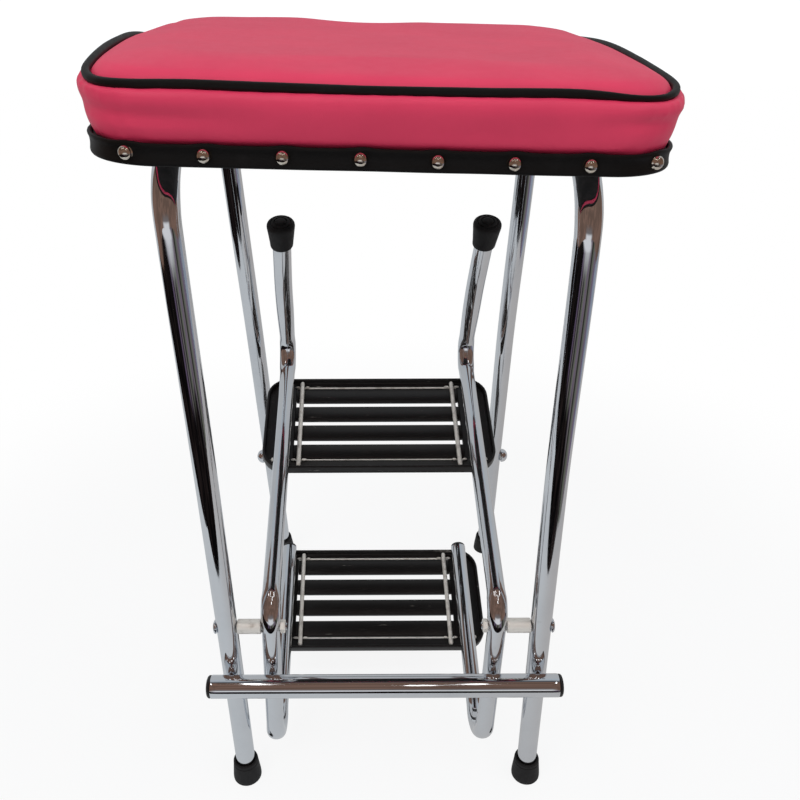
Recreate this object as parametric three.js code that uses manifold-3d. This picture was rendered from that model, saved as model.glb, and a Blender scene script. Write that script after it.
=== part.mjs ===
// Kitchen step stool: a padded seat on two bent tube side frames, with a pair of
// slatted treads on bent side tubes that stow under the seat and flip forward.
// Lengths are millimetres. X runs across the stool, Y from its front to its back, Z up.

import * as THREE from 'three';
import { mergeVertices } from 'three/addons/utils/BufferGeometryUtils.js';
import Module from 'manifold-3d';

const wasm = await Module();
wasm.setup();

// Clearances
const seatGap = 0.3; // between pieces that rest on or are welded to each other
const turnGap = 0.4; // round a bolt in its hole
const cutOver = 4; // how far a cutting body runs past what it cuts

// Side frames
const frameSpacing = 272; // between the axes of the two frames
const legRadius = 9;
const legWall = 1.5;
const rearFootReach = 348; // rear foot behind the front foot
const rearLegLean = 10.9; // degrees from upright
const frameBend = 60; // radius of the two top bends, on the tube's axis
const railHeight = 585.5; // axis of the top rail at its front bend
const railRake = 2.1; // degrees that the rail and the seat rise to the back

// Leg feet
const footHeight = 25;
const footBaseRadius = 13.4;
const footTopRadius = 11.4;
const footFloor = 5; // rubber under the tube's end
const footBevel = 1.2;
const footRingRadius = 9.8; // groove moulded in the end face
const footRingDepth = 1.2;

// Front crossbar and rear tie rod
const barRadius = 10;
const barWall = 1.5;
const barLength = 304;
const barHeight = 143;
const plugRim = 1.4; // thickness of a plug's edge outside its tube
const plugInset = 0.35; // edge inside the tube's surface
const plugDome = 2.2; // swell of the plug over its edge
const plugDepth = 12; // reach of a plug inside its tube
const tieRadius = 4;
const tieHeight = 169;
const tieNutRadius = 8;
const tieNutHeight = 8;
const tieNutGrip = 5; // depth of the thread in the nut

// Step side tubes
const stepSpacing = 196;
const stepRadius = 8;
const stepWall = 1.4;
const pivotHeight = 195;
const stowTilt = 21.5; // degrees that the stowed treads slope up to the back
const longTubeRise = 15.2; // long tube's axis over the pivot, square to the treads
const footTubeReach = 309; // foot tube's axis from the pivot, along the treads
const innerTubeDrop = 160; // inner tube's axis under the pivot
const innerTubeReach = 168; // inner tube's plugged end from the pivot
const kneeBend = 28; // bend radii on the tube's axis
const ankleBend = 30;
const heelBend = 38;

// Step feet
const capHeight = 29;
const capBaseRadius = 13.4;
const capTopRadius = 11;
const capFloor = 6;
const capRingDepth = 1.4;
const capRingRadius = 9;

// Pivots
const boltRadius = 3.2;
const boltHeadRadius = 6.4;
const boltHeadHeight = 3;
const spacerRadius = 5.9;
const nutAcross = 11;
const nutHeight = 5.6;
const threadEnd = 1.6; // bolt left proud of its nut

// Treads
const treadWidth = 238;
const treadDepth = 118;
const treadHeight = 11;
const treadCorner = 23;
const treadPlate = 5.6;
const treadLip = 3;
const treadBevel = 1.4;
const sideRim = 17;
const rearRim = 9;
const frontRim = 12.5;
const slatCount = 4;
const slatWidth = 17.5;
const slatGap = 7.5;
const slatLength = 170;
const slatBevel = 1.2;
const rodSpacing = 163;
const rodRadius = 2.3;
const wireRadius = 1.1;
const rivetRadius = 2.6;
const rivetHeight = 1.6;
const rivetInset = 11.5; // from the tread's side
const rivetFront = 13; // from the tread's front edge
const upperTreadReach = 163; // front edge of each stowed tread from the pivot
const lowerTreadReach = 52;

// Seat
const seatWidth = 348; // over the board at its front and back
const seatDepth = 328;
const seatCorner = 38;
const seatOverhang = 45.5; // board's front edge before the front legs' axis
const boardHeight = 11;
const boardBevel = 1;
const crownHeight = 53; // from the board's underside to the top of the crown
const welt = 2.9; // radius of the piping
const weltHeight = 43; // piping's axis over the board's underside at the front and back
const weltInset = 3.5; // piping's axis inside the board's edge
const sideBow = 9; // how far both sides bow out midway
const sideArch = 7.3; // how far the piping rises midway along both sides
const boxingSwell = 3.6; // fullest part of the side outside the board's edge
const boxingTuck = 2.4; // how far the side draws in behind the band
const boxingShares = [[0.1, 0.08], [0.6, 0.35], [0.92, 0.62], [0.9, 0.84]]; // swell, rise
const bandHeight = 13.5;
const bandThickness = 2.6;
const bandBevel = 0.8;
const nailCount = 30;
const nailStartShare = 0.31; // first nail along its spacing, from the right side
const nailRadius = 4.2;
const nailHeight = 2.9;
const nailSink = 1; // depth of the nail head's edge in the band
const screwRadius = 2.1;
const screwHeadRadius = 5;
const screwHeadHeight = 2.6;
const screwGrip = 7.5; // length of the screw in the board
const screwFrontReach = 78; // screws behind the front legs' axis
const screwRearReach = 172;

// Facets
const tubeSides = 16;
const boreSides = 10;
const roundSides = 18;
const smallSides = 8;
const weltSides = 8;
const bendSteps = 6;
const domeSteps = 3;
const treadCornerSteps = 5;
const seatCornerSteps = 5;
const seatSideSteps = 5;
const crownSteps = 6;
const crownPower = 5; // higher for a flatter crown with rounder edges

const chrome = { color: 0xd9dde0, roughness: 0.12, metalness: 1 };
const zinc = { color: 0xa9aaa6, roughness: 0.4, metalness: 1 };
const rubber = { color: 0x161618, roughness: 0.7, metalness: 0 };
const blackPlastic = { color: 0x1a1918, roughness: 0.5, metalness: 0 };
const pinkVinyl = { color: 0xd83a63, roughness: 0.45, metalness: 0 };
const blackVinyl = { color: 0x1b1b1c, roughness: 0.45, metalness: 0 };
const plywood = { color: 0xb98f5e, roughness: 0.75, metalness: 0 };

const radians = THREE.MathUtils.degToRad;
const bedStep = radians(30); // the piping's groove, from below it round its inner side
const bedStart = radians(-60);
const bedEnd = radians(-240);
const alongX = new THREE.Vector3(1, 0, 0);
const alongY = new THREE.Vector3(0, 1, 0);
const alongZ = new THREE.Vector3(0, 0, 1);

function addMesh(parent, name, geometry, finish) {
  const mesh = new THREE.Mesh(geometry, new THREE.MeshStandardMaterial(finish));
  mesh.name = name;
  parent.add(mesh);
  return mesh;
}

// Booleans

function toSolid(geometry) {
  const bare = geometry.clone();
  bare.deleteAttribute('normal');
  bare.deleteAttribute('uv');
  const merged = mergeVertices(bare);
  return new wasm.Manifold(
    new wasm.Mesh({
      numProp: 3,
      vertProperties: new Float32Array(merged.getAttribute('position').array),
      triVerts: new Uint32Array(merged.getIndex().array),
    }),
  );
}

function toGeometry(solid) {
  const data = solid.getMesh();
  const geometry = new THREE.BufferGeometry();
  geometry.setAttribute('position', new THREE.BufferAttribute(data.vertProperties, 3));
  geometry.setIndex(new THREE.BufferAttribute(data.triVerts, 1));
  geometry.computeVertexNormals();
  return geometry;
}

function cutFrom(geometry, cutters) {
  let solid = toSolid(geometry);
  for (const cutter of cutters) solid = solid.subtract(toSolid(cutter));
  return toGeometry(solid);
}

// Round pieces

function aimed(geometry, direction, position) {
  const turn = new THREE.Quaternion().setFromUnitVectors(alongY, direction);
  return geometry.applyQuaternion(turn).translate(position.x, position.y, position.z);
}

// A turned piece: its profile is a list of [radius, distance along the axis].
function turned(profile, direction, position, sides = roundSides) {
  const points = profile.map(([radius, along]) => new THREE.Vector2(radius, along));
  return aimed(new THREE.LatheGeometry(points, sides), direction, position);
}

// The profile of a dome, from its edge to its top.
function dome(radius, base, height) {
  const points = [];
  for (let k = 0; k < domeSteps; k++) {
    const angle = (Math.PI / 2) * (k / domeSteps);
    points.push([radius * Math.cos(angle), base + height * Math.sin(angle)]);
  }
  points.push([0, base + height]);
  return points;
}

function rod(radius, start, end, sides = roundSides) {
  const direction = end.clone().sub(start);
  const length = direction.length();
  return turned([[0, 0], [radius, 0], [radius, length], [0, length]], direction.normalize(), start, sides);
}

function circle(radius, sides) {
  const points = [];
  for (let i = 0; i < sides; i++) {
    const angle = (2 * Math.PI * i) / sides;
    points.push(new THREE.Vector2(radius * Math.cos(angle), radius * Math.sin(angle)));
  }
  return points;
}

// Bent tubes

// A route of straight runs and bends, given by its corners, with a station at each
// end of a run and a few round each bend.
class BentRoute extends THREE.Curve {
  constructor(corners, bends) {
    super();
    this.places = [];
    this.headings = [];
    const add = (place, heading) => {
      this.places.push(place);
      this.headings.push(heading);
    };
    const last = corners.length - 1;
    add(corners[0], corners[1].clone().sub(corners[0]).normalize());
    for (let i = 1; i < last; i++) {
      const before = corners[i].clone().sub(corners[i - 1]).normalize();
      const after = corners[i + 1].clone().sub(corners[i]).normalize();
      const turn = before.angleTo(after);
      const axis = before.clone().cross(after).normalize();
      const start = corners[i].clone().addScaledVector(before, -bends[i - 1] * Math.tan(turn / 2));
      const centre = start.clone().addScaledVector(axis.clone().cross(before), bends[i - 1]);
      for (let k = 0; k <= bendSteps; k++) {
        const part = (turn * k) / bendSteps;
        const place = start.clone().sub(centre).applyAxisAngle(axis, part).add(centre);
        add(place, before.clone().applyAxisAngle(axis, part));
      }
    }
    add(corners[last], corners[last].clone().sub(corners[last - 1]).normalize());
    this.runs = this.places.length - 1;
  }

  getPointAt(share, target = new THREE.Vector3()) {
    return target.copy(this.places[Math.round(share * this.runs)]);
  }

  getPoint(share, target) {
    return this.getPointAt(share, target);
  }

  getTangentAt(share, target = new THREE.Vector3()) {
    return target.copy(this.headings[Math.round(share * this.runs)]);
  }
}

function tube(corners, bends, radius, wall) {
  const section = new THREE.Shape(circle(radius, tubeSides));
  section.holes.push(new THREE.Path(circle(radius - wall, boreSides)));
  const route = new BentRoute(corners, bends);
  return new THREE.ExtrudeGeometry(section, { steps: route.runs, extrudePath: route, bevelEnabled: false });
}

// A rubber ferrule: a tapered cup, with a groove in its end face if it has a ring.
// Its axis runs from the end face towards the tube.
function ferrule(size, direction, position) {
  const bore = size.tubeRadius + seatGap;
  const groove = size.ring
    ? [[size.ring - size.ringDepth, 0], [size.ring, size.ringDepth], [size.ring + size.ringDepth, 0]]
    : [];
  return turned(
    [
      [0, 0],
      ...groove,
      [size.base - footBevel, 0],
      [size.base, footBevel],
      [size.top, size.height - footBevel],
      [size.top - footBevel, size.height],
      [bore, size.height],
      [bore, size.floor],
      [0, size.floor],
    ],
    direction,
    position,
  );
}

// A domed plug in the end of a tube. Its axis points out of the tube.
function plug(tubeRadius, wall, direction, end) {
  const stem = (tubeRadius - wall) * Math.cos(Math.PI / boreSides) - seatGap;
  const edge = tubeRadius - plugInset;
  return turned(
    [
      [0, -plugDepth],
      [stem - plugRim, -plugDepth],
      [stem, -plugDepth + plugRim],
      [stem, seatGap],
      [edge, seatGap],
      ...dome(edge, seatGap + plugRim, plugDome),
    ],
    direction,
    end,
  );
}

// Closed rings and pads that follow the seat's outline

// Points round a rectangle with round corners, each with its outward direction.
function outline(width, depth, corner, cornerSteps) {
  const points = [];
  const quarter = Math.PI / 2;
  const centres = [
    [width / 2 - corner, depth / 2 - corner],
    [corner - width / 2, depth / 2 - corner],
    [corner - width / 2, corner - depth / 2],
    [width / 2 - corner, corner - depth / 2],
  ];
  centres.forEach(([x, y], turn) => {
    for (let i = 0; i <= cornerSteps; i++) {
      const angle = quarter * (turn + i / cornerSteps);
      const out = new THREE.Vector2(Math.cos(angle), Math.sin(angle));
      points.push({ place: new THREE.Vector2(x, y).addScaledVector(out, corner), out });
    }
  });
  return points;
}

// Loops of points, all with the same count, joined into a closed skin. The skin
// closes on itself, or on a flat fan at each end.
function skin(loops, closed) {
  const count = loops[0].length;
  const positions = loops.flat().flatMap((p) => [p.x, p.y, p.z]);
  const faces = [];
  const rows = closed ? loops.length : loops.length - 1;
  for (let r = 0; r < rows; r++) {
    for (let i = 0; i < count; i++) {
      const next = (i + 1) % count;
      const low = r * count;
      const high = ((r + 1) % loops.length) * count;
      faces.push(low + i, low + next, high + next, low + i, high + next, high + i);
    }
  }
  if (!closed) {
    for (const [row, flip] of [[0, true], [loops.length - 1, false]]) {
      const hub = positions.length / 3;
      const middle = loops[row].reduce((sum, p) => sum.add(p), new THREE.Vector3());
      middle.divideScalar(count);
      positions.push(middle.x, middle.y, middle.z);
      for (let i = 0; i < count; i++) {
        const here = row * count + i;
        const next = row * count + ((i + 1) % count);
        faces.push(...(flip ? [hub, next, here] : [hub, here, next]));
      }
    }
  }
  const geometry = new THREE.BufferGeometry();
  geometry.setAttribute('position', new THREE.Float32BufferAttribute(positions, 3));
  geometry.setIndex(faces);
  geometry.computeVertexNormals();
  return geometry;
}

function loopAt(edge, offset, height) {
  return edge.map(({ place, out }) => {
    const p = place.clone().addScaledVector(out, offset);
    return new THREE.Vector3(p.x, p.y, height);
  });
}

// The place and outward direction at a share of the way round a closed loop.
function alongLoop(points, share) {
  const lengths = points.map((p, i) => p.place.distanceTo(points[(i + 1) % points.length].place));
  let left = share * lengths.reduce((sum, length) => sum + length, 0);
  let i = 0;
  while (left > lengths[i]) {
    left -= lengths[i];
    i++;
  }
  const here = points[i];
  const next = points[(i + 1) % points.length];
  return {
    place: here.place.clone().lerp(next.place, left / lengths[i]),
    out: here.out.clone().lerp(next.out, left / lengths[i]).normalize(),
  };
}

function hexNut(across, height, holeRadius) {
  const shape = new THREE.Shape(circle(across / Math.sqrt(3), 6));
  shape.holes.push(new THREE.Path(circle(holeRadius, boreSides)));
  return new THREE.ExtrudeGeometry(shape, { depth: height, bevelEnabled: false });
}

const stool = new THREE.Group();
const sides = [
  { name: 'left', x: -1 },
  { name: 'right', x: 1 },
];

// Places that several pieces share

const frameX = frameSpacing / 2;
const lean = radians(rearLegLean);
const rake = radians(railRake);
const rearLegUp = new THREE.Vector3(0, -Math.sin(lean), Math.cos(lean));
const rearFoot = (x) => new THREE.Vector3(x, rearFootReach, 0);
const onRearLeg = (x, height) => rearFoot(x).addScaledVector(rearLegUp, height / Math.cos(lean));
const barY = -(legRadius + seatGap + barRadius);

// Height of the rail's axis where the rear leg's line crosses it.
const rearReachAtRail = rearFootReach - railHeight * Math.tan(lean);
const rearRailRise = (rearReachAtRail * Math.tan(rake)) / (1 + Math.tan(rake) * Math.tan(lean));
const rearRailHeight = railHeight + rearRailRise;
const railAt = (x, y) => new THREE.Vector3(x, y, railHeight + y * Math.tan(rake));
const screwReaches = [screwFrontReach, screwRearReach];
const seatUp = new THREE.Vector3(0, -Math.sin(rake), Math.cos(rake));

// Side frames, each one tube bent into an upturned U

for (const side of sides) {
  const x = side.x * frameX;
  const corners = [
    new THREE.Vector3(x, 0, footFloor + seatGap),
    new THREE.Vector3(x, 0, railHeight),
    onRearLeg(x, rearRailHeight),
    onRearLeg(x, (footFloor + seatGap) * Math.cos(lean)),
  ];
  const pivotHole = rod(
    boltRadius + turnGap,
    new THREE.Vector3(x - legRadius - cutOver, 0, pivotHeight),
    new THREE.Vector3(x + legRadius + cutOver, 0, pivotHeight),
    boreSides,
  );
  const tie = onRearLeg(x, tieHeight);
  const tieHole = rod(
    tieRadius + turnGap,
    tie.clone().addScaledVector(alongX, -legRadius - cutOver),
    tie.clone().addScaledVector(alongX, legRadius + cutOver),
    boreSides,
  );
  const screwHoles = screwReaches.map((reach) =>
    rod(
      screwRadius + turnGap,
      railAt(x, reach).addScaledVector(seatUp, -legRadius - cutOver),
      railAt(x, reach).addScaledVector(seatUp, legRadius + cutOver),
      boreSides,
    ),
  );
  const frame = cutFrom(tube(corners, [frameBend, frameBend], legRadius, legWall), [
    pivotHole,
    tieHole,
    ...screwHoles,
  ]);
  addMesh(stool, `side_frame_${side.name}`, frame, chrome);
}

// Rubber feet, cut level where they stand

const legFoot = {
  tubeRadius: legRadius,
  base: footBaseRadius,
  top: footTopRadius,
  height: footHeight,
  floor: footFloor,
  ring: footRingRadius,
  ringDepth: footRingDepth,
};
for (const side of sides) {
  const x = side.x * frameX;
  const front = ferrule(legFoot, alongZ, new THREE.Vector3(x, 0, 0));
  addMesh(stool, `foot_front_${side.name}`, front, rubber);

  // The slanted foot is long enough to reach the floor at its back edge.
  const sink = footBaseRadius * Math.tan(lean);
  const slanted = { ...legFoot, height: footHeight + sink, floor: footFloor + sink, ring: null };
  const rear = ferrule(slanted, rearLegUp, rearFoot(x).addScaledVector(rearLegUp, -sink));
  const under = 2 * (footBaseRadius + cutOver);
  const below = new THREE.BoxGeometry(under, under, under).translate(x, rearFootReach, -under / 2);
  addMesh(stool, `foot_rear_${side.name}`, cutFrom(rear, [below]), rubber);
}

// Front crossbar, welded across the front of the legs

const barEnds = sides.map((side) => new THREE.Vector3((side.x * barLength) / 2, barY, barHeight));
addMesh(stool, 'front_crossbar', tube(barEnds, [], barRadius, barWall), chrome);
sides.forEach((side, i) => {
  const cap = plug(barRadius, barWall, alongX.clone().multiplyScalar(side.x), barEnds[i]);
  addMesh(stool, `crossbar_plug_${side.name}`, cap, blackPlastic);
});

// Tie rod between the rear legs, with a domed nut on each end

const nutSeat = frameX + legRadius + seatGap;
const tieEnd = new THREE.Vector3(nutSeat + tieNutGrip, onRearLeg(0, tieHeight).y, tieHeight);
const tieStart = tieEnd.clone().setX(-tieEnd.x);
addMesh(stool, 'rear_tie_rod', rod(tieRadius, tieStart, tieEnd, boreSides), zinc);
for (const side of sides) {
  const thread = tieRadius + seatGap;
  const nut = turned(
    [
      [thread, 0],
      ...dome(tieNutRadius, 0, tieNutHeight),
      [0, tieNutGrip + seatGap],
      [thread, tieNutGrip + seatGap],
      [thread, 0],
    ],
    alongX.clone().multiplyScalar(side.x),
    tieEnd.clone().setX(side.x * nutSeat),
  );
  addMesh(stool, `tie_rod_nut_${side.name}`, nut, zinc);
}

// Seat, built level about the board's underside and raked with the rail

const seat = new THREE.Group();
seat.position.copy(railAt(0, 0)).addScaledVector(seatUp, legRadius + seatGap);
seat.rotation.x = rake;
stool.add(seat);
const seatY = seatDepth / 2 - seatOverhang;

// 1 midway along the seat's sides, falling to 0 at its front and back
const midShare = (y) => 1 - ((2 * y) / seatDepth) ** 2;

// The board's edge: both sides bow outwards between their corners.
const seatEdge = [];
outline(seatWidth, seatDepth, seatCorner, seatCornerSteps).forEach((point, i, corners) => {
  seatEdge.push(point);
  const next = corners[(i + 1) % corners.length];
  const sideFollows = (i + 1) % (corners.length / 2) === 0;
  for (let k = 1; sideFollows && k < seatSideSteps; k++) {
    const place = point.place.clone().lerp(next.place, k / seatSideSteps);
    seatEdge.push({ place, out: point.out });
  }
});
for (const { place } of seatEdge) place.x += Math.sign(place.x) * sideBow * midShare(place.y);

// A loop round the seat. Midway along the sides it arches up by a share of the seam's arch.
function seatLoop(offset, height, archShare) {
  return loopAt(seatEdge, offset, height).map((p, i) =>
    p.setZ(height + sideArch * archShare * midShare(seatEdge[i].place.y)),
  );
}

const board = skin(
  [
    loopAt(seatEdge, 0, 0),
    loopAt(seatEdge, 0, boardHeight - boardBevel),
    loopAt(seatEdge, -boardBevel, boardHeight),
  ],
  false,
).translate(0, seatY, 0);
const pilotHoles = [];
for (const side of sides) {
  for (const reach of screwReaches) {
    const y = reach / Math.cos(rake);
    pilotHoles.push(
      rod(
        screwRadius + seatGap,
        new THREE.Vector3(side.x * frameX, y, -cutOver),
        new THREE.Vector3(side.x * frameX, y, screwGrip + seatGap),
        smallSides,
      ),
    );
  }
}
addMesh(seat, 'seat_board', cutFrom(board, pilotHoles), plywood);

for (const side of sides) {
  screwReaches.forEach((reach, i) => {
    const head = railAt(side.x * frameX, reach).addScaledVector(seatUp, -legRadius - seatGap);
    const shank = 2 * legRadius + 2 * seatGap + screwGrip;
    const screw = turned(
      [
        ...dome(screwHeadRadius, 0, -screwHeadHeight).reverse(),
        [screwRadius, 0],
        [screwRadius, shank - screwRadius],
        [0, shank],
      ],
      seatUp,
      head,
      boreSides,
    );
    addMesh(stool, `seat_screw_${['front', 'rear'][i]}_${side.name}`, screw, zinc);
  });
}

// Cushion: the side swells between the band and the piping, a groove holds the
// piping, and the crown rises from the groove to the middle
const bedRadius = (welt + seatGap) / Math.cos(bedStep / 2);
const boxing = weltHeight - bandHeight;
const cushionLoops = [
  loopAt(seatEdge, -boxingTuck, boardHeight + seatGap),
  loopAt(seatEdge, -boxingTuck, bandHeight),
  ...boxingShares.map(([swell, rise]) =>
    seatLoop(boxingSwell * swell, bandHeight + boxing * rise, rise),
  ),
];
for (let turn = bedStart; turn >= bedEnd - bedStep / 2; turn -= bedStep) {
  const out = bedRadius * Math.cos(turn) - weltInset;
  cushionLoops.push(seatLoop(out, weltHeight + bedRadius * Math.sin(turn), 1));
}
const crownInset = bedRadius * Math.cos(bedEnd) - weltInset;
const crownStart = weltHeight + bedRadius * Math.sin(bedEnd);
for (let i = 1; i < crownSteps; i++) {
  const share = 1 - i / crownSteps;
  const edgeShare = share ** crownPower;
  const height = crownStart + (crownHeight - crownStart) * (1 - edgeShare);
  const rim = seatLoop(crownInset, height, edgeShare);
  cushionLoops.push(rim.map((p) => new THREE.Vector3(p.x * share, p.y * share, p.z)));
}
const cushion = skin(cushionLoops, false).translate(0, seatY, 0);
addMesh(seat, 'seat_cushion', cushion, pinkVinyl);

// Piping sewn round the top edge
const piping = skin(
  circle(welt, weltSides).map((p) => seatLoop(p.x - weltInset, weltHeight + p.y, 1)),
  true,
).translate(0, seatY, 0);
addMesh(seat, 'seat_piping', piping, blackVinyl);

// Trim band nailed round the board's edge
const bandFace = seatGap + bandThickness;
const band = skin(
  [
    loopAt(seatEdge, seatGap, 0),
    loopAt(seatEdge, bandFace, 0),
    loopAt(seatEdge, bandFace, bandHeight - bandBevel),
    loopAt(seatEdge, bandFace - bandBevel, bandHeight),
    loopAt(seatEdge, seatGap, bandHeight),
  ],
  true,
);
let bandSolid = toSolid(band);
const nailPath = seatEdge.map(({ place, out }) => ({
  place: place.clone().addScaledVector(out, bandFace),
  out,
}));
for (let n = 0; n < nailCount; n++) {
  const { place, out } = alongLoop(nailPath, (n + nailStartShare) / nailCount);
  const nail = turned(
    [[0, -nailSink], [nailRadius, -nailSink], ...dome(nailRadius, 0, nailHeight)],
    new THREE.Vector3(out.x, out.y, 0),
    new THREE.Vector3(place.x, place.y, bandHeight / 2),
    smallSides,
  );
  bandSolid = bandSolid.add(toSolid(nail));
}
addMesh(seat, 'seat_trim_band', toGeometry(bandSolid).translate(0, seatY, 0), blackVinyl);

// Step unit, stowed. Its own frame has the pivot at the origin, Y along the
// treads to the back and Z square to them.

const steps = new THREE.Group();
steps.position.set(0, 0, pivotHeight);
steps.rotation.x = radians(stowTilt);
stool.add(steps);

// The riser below the pivot leans until it meets the back of the crossbar.
const barDrop = pivotHeight - barHeight;
const contact = barRadius + stepRadius + seatGap;
const riserLean = Math.acos(contact / Math.hypot(barY, barDrop)) - Math.atan2(barDrop, -barY);
const riserAngle = riserLean + radians(stowTilt);
const riserAt = (height) => height * Math.tan(riserAngle);

const stepFootEnd = pivotHeight - seatGap;
const footTubeEnd = stepFootEnd - capFloor - seatGap;
for (const side of sides) {
  const x = (side.x * stepSpacing) / 2;
  const corners = [
    new THREE.Vector3(x, footTubeReach, footTubeEnd),
    new THREE.Vector3(x, footTubeReach, longTubeRise),
    new THREE.Vector3(x, riserAt(longTubeRise), longTubeRise),
    new THREE.Vector3(x, riserAt(-innerTubeDrop), -innerTubeDrop),
    new THREE.Vector3(x, innerTubeReach, -innerTubeDrop),
  ];
  const hole = rod(
    boltRadius + turnGap,
    new THREE.Vector3(x - stepRadius - cutOver, 0, 0),
    new THREE.Vector3(x + stepRadius + cutOver, 0, 0),
    boreSides,
  );
  const bent = tube(corners, [ankleBend, kneeBend, heelBend], stepRadius, stepWall);
  addMesh(steps, `step_tube_${side.name}`, cutFrom(bent, [hole]), chrome);

  const stepFoot = {
    tubeRadius: stepRadius,
    base: capBaseRadius,
    top: capTopRadius,
    height: capHeight,
    floor: capFloor,
    ring: capRingRadius,
    ringDepth: capRingDepth,
  };
  const capEnd = new THREE.Vector3(x, footTubeReach, stepFootEnd);
  const cap = ferrule(stepFoot, alongZ.clone().negate(), capEnd);
  addMesh(steps, `step_foot_${side.name}`, cap, rubber);

  const stopper = plug(stepRadius, stepWall, alongY, corners.at(-1));
  addMesh(steps, `step_tube_plug_${side.name}`, stopper, blackPlastic);
}

// Treads hang under the tubes when stowed, so their standing faces look down.

const slatPitch = slatWidth + slatGap;
const wireSlot = 2 * (wireRadius + seatGap);
const openDepth = treadDepth - rearRim - frontRim;
const openWidth = treadWidth - 2 * sideRim;

function treadRim() {
  const edge = outline(treadWidth, treadDepth, treadCorner, treadCornerSteps);
  const shell = skin(
    [
      loopAt(edge, -treadBevel, -treadHeight),
      loopAt(edge, 0, -treadHeight + treadBevel),
      loopAt(edge, 0, 0),
      loopAt(edge, -treadLip, 0),
      loopAt(edge, -treadLip, treadPlate - treadHeight),
    ],
    false,
  );
  const opening = new THREE.BoxGeometry(openWidth, openDepth, treadHeight + 2 * cutOver);
  opening.translate(0, (frontRim - rearRim) / 2, -treadHeight / 2);
  return cutFrom(shell, [opening]);
}

function slat(length) {
  const half = slatWidth / 2;
  const section = new THREE.Shape([
    new THREE.Vector2(-half, 0),
    new THREE.Vector2(half, 0),
    new THREE.Vector2(half, slatBevel - treadPlate),
    new THREE.Vector2(half - slatBevel, -treadPlate),
    new THREE.Vector2(slatBevel - half, -treadPlate),
    new THREE.Vector2(-half, slatBevel - treadPlate),
  ]);
  const body = new THREE.ExtrudeGeometry(section, { depth: length, bevelEnabled: false });
  const turn = new THREE.Matrix4().makeBasis(alongY, alongZ, alongX);
  return body.translate(0, 0, -length / 2).applyMatrix4(turn);
}

function addTread(name, reach, tubeAxis) {
  const tread = new THREE.Group();
  tread.position.set(0, reach + treadDepth / 2, tubeAxis - stepRadius - seatGap);
  steps.add(tread);
  addMesh(tread, `${name}_rim`, treadRim(), blackPlastic);

  // Slats lie on the rods, level with the rim's standing face.
  const plateTop = treadPlate - treadHeight;
  const lastSlat = treadDepth / 2 - rearRim - wireSlot - slatWidth / 2;
  for (let i = 0; i < slatCount; i++) {
    const piece = slat(i === 0 ? openWidth - 2 * seatGap : slatLength);
    piece.translate(0, lastSlat - i * slatPitch, plateTop);
    addMesh(tread, `${name}_slat_${slatCount - i}`, piece, blackPlastic);
  }
  const rodZ = plateTop + seatGap + rodRadius;
  const rodEnd = treadDepth / 2 - treadLip - seatGap - rodRadius;
  const rivetY = rivetFront - treadDepth / 2;
  for (const side of sides) {
    const bar = turned(
      [...dome(rodRadius, -rodEnd, -rodRadius).reverse(), ...dome(rodRadius, rodEnd, rodRadius)],
      alongY,
      new THREE.Vector3((side.x * rodSpacing) / 2, 0, rodZ),
      smallSides,
    );
    addMesh(tread, `${name}_rod_${side.name}`, bar, zinc);

    const rivetX = side.x * (treadWidth / 2 - rivetInset);
    const rivet = turned(
      [[0, 0], ...dome(rivetRadius, 0, rivetHeight)],
      alongZ,
      new THREE.Vector3(rivetX, rivetY, plateTop + seatGap),
      smallSides,
    );
    addMesh(tread, `${name}_rivet_${side.name}`, rivet, zinc);
  }

  // A wire along the back of the last slat, welded under the rods
  const wireEnd = new THREE.Vector3(
    openWidth / 2 - seatGap,
    treadDepth / 2 - rearRim - wireSlot / 2,
    plateTop - wireRadius,
  );
  const wireStart = wireEnd.clone().setX(-wireEnd.x);
  addMesh(tread, `${name}_wire`, rod(wireRadius, wireStart, wireEnd, smallSides), zinc);
}

addTread('upper_tread', upperTreadReach, longTubeRise);
addTread('lower_tread', lowerTreadReach, -innerTubeDrop);

// Pivots: a bolt through leg, spacer and step tube, with a nut inside

for (const side of sides) {
  const out = alongX.clone().multiplyScalar(side.x);
  const inward = out.clone().negate();
  const legOuter = frameX + legRadius;
  const legInner = frameX - legRadius;
  const stepOuter = stepSpacing / 2 + stepRadius;
  const stepInner = stepSpacing / 2 - stepRadius;
  const nutFace = stepInner - seatGap - nutHeight;
  const shank = legOuter + seatGap - nutFace + threadEnd;
  const boltSeat = new THREE.Vector3(side.x * (legOuter + seatGap), 0, pivotHeight);
  const bolt = turned(
    [
      ...dome(boltHeadRadius, 0, -boltHeadHeight).reverse(),
      [boltRadius, 0],
      [boltRadius, shank],
      [0, shank],
    ],
    inward,
    boltSeat,
    boreSides,
  );
  addMesh(stool, `pivot_bolt_${side.name}`, bolt, zinc);

  const spacerLength = legInner - stepOuter - 2 * seatGap;
  const spacerSeat = new THREE.Vector3(side.x * (stepOuter + seatGap), 0, pivotHeight);
  const bore = boltRadius + turnGap;
  const spacer = turned(
    [[bore, 0], [spacerRadius, 0], [spacerRadius, spacerLength], [bore, spacerLength], [bore, 0]],
    out,
    spacerSeat,
  );
  addMesh(stool, `pivot_spacer_${side.name}`, spacer, zinc);

  const nut = hexNut(nutAcross, nutHeight, boltRadius + seatGap);
  nut.applyQuaternion(new THREE.Quaternion().setFromUnitVectors(alongZ, inward));
  nut.translate(side.x * (stepInner - seatGap), 0, pivotHeight);
  addMesh(stool, `pivot_nut_${side.name}`, nut, zinc);
}

// The origin is the middle of the stool's outline, on the floor.
const reach = new THREE.Box3().setFromObject(stool, true);
const folding_step_stool = new THREE.Group();
stool.position.y = -(reach.min.y + reach.max.y) / 2;
folding_step_stool.add(stool);

export default folding_step_stool;
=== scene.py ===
import math
import random

import bmesh
import bpy
import numpy as np
from mathutils import Matrix, Vector, noise


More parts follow.
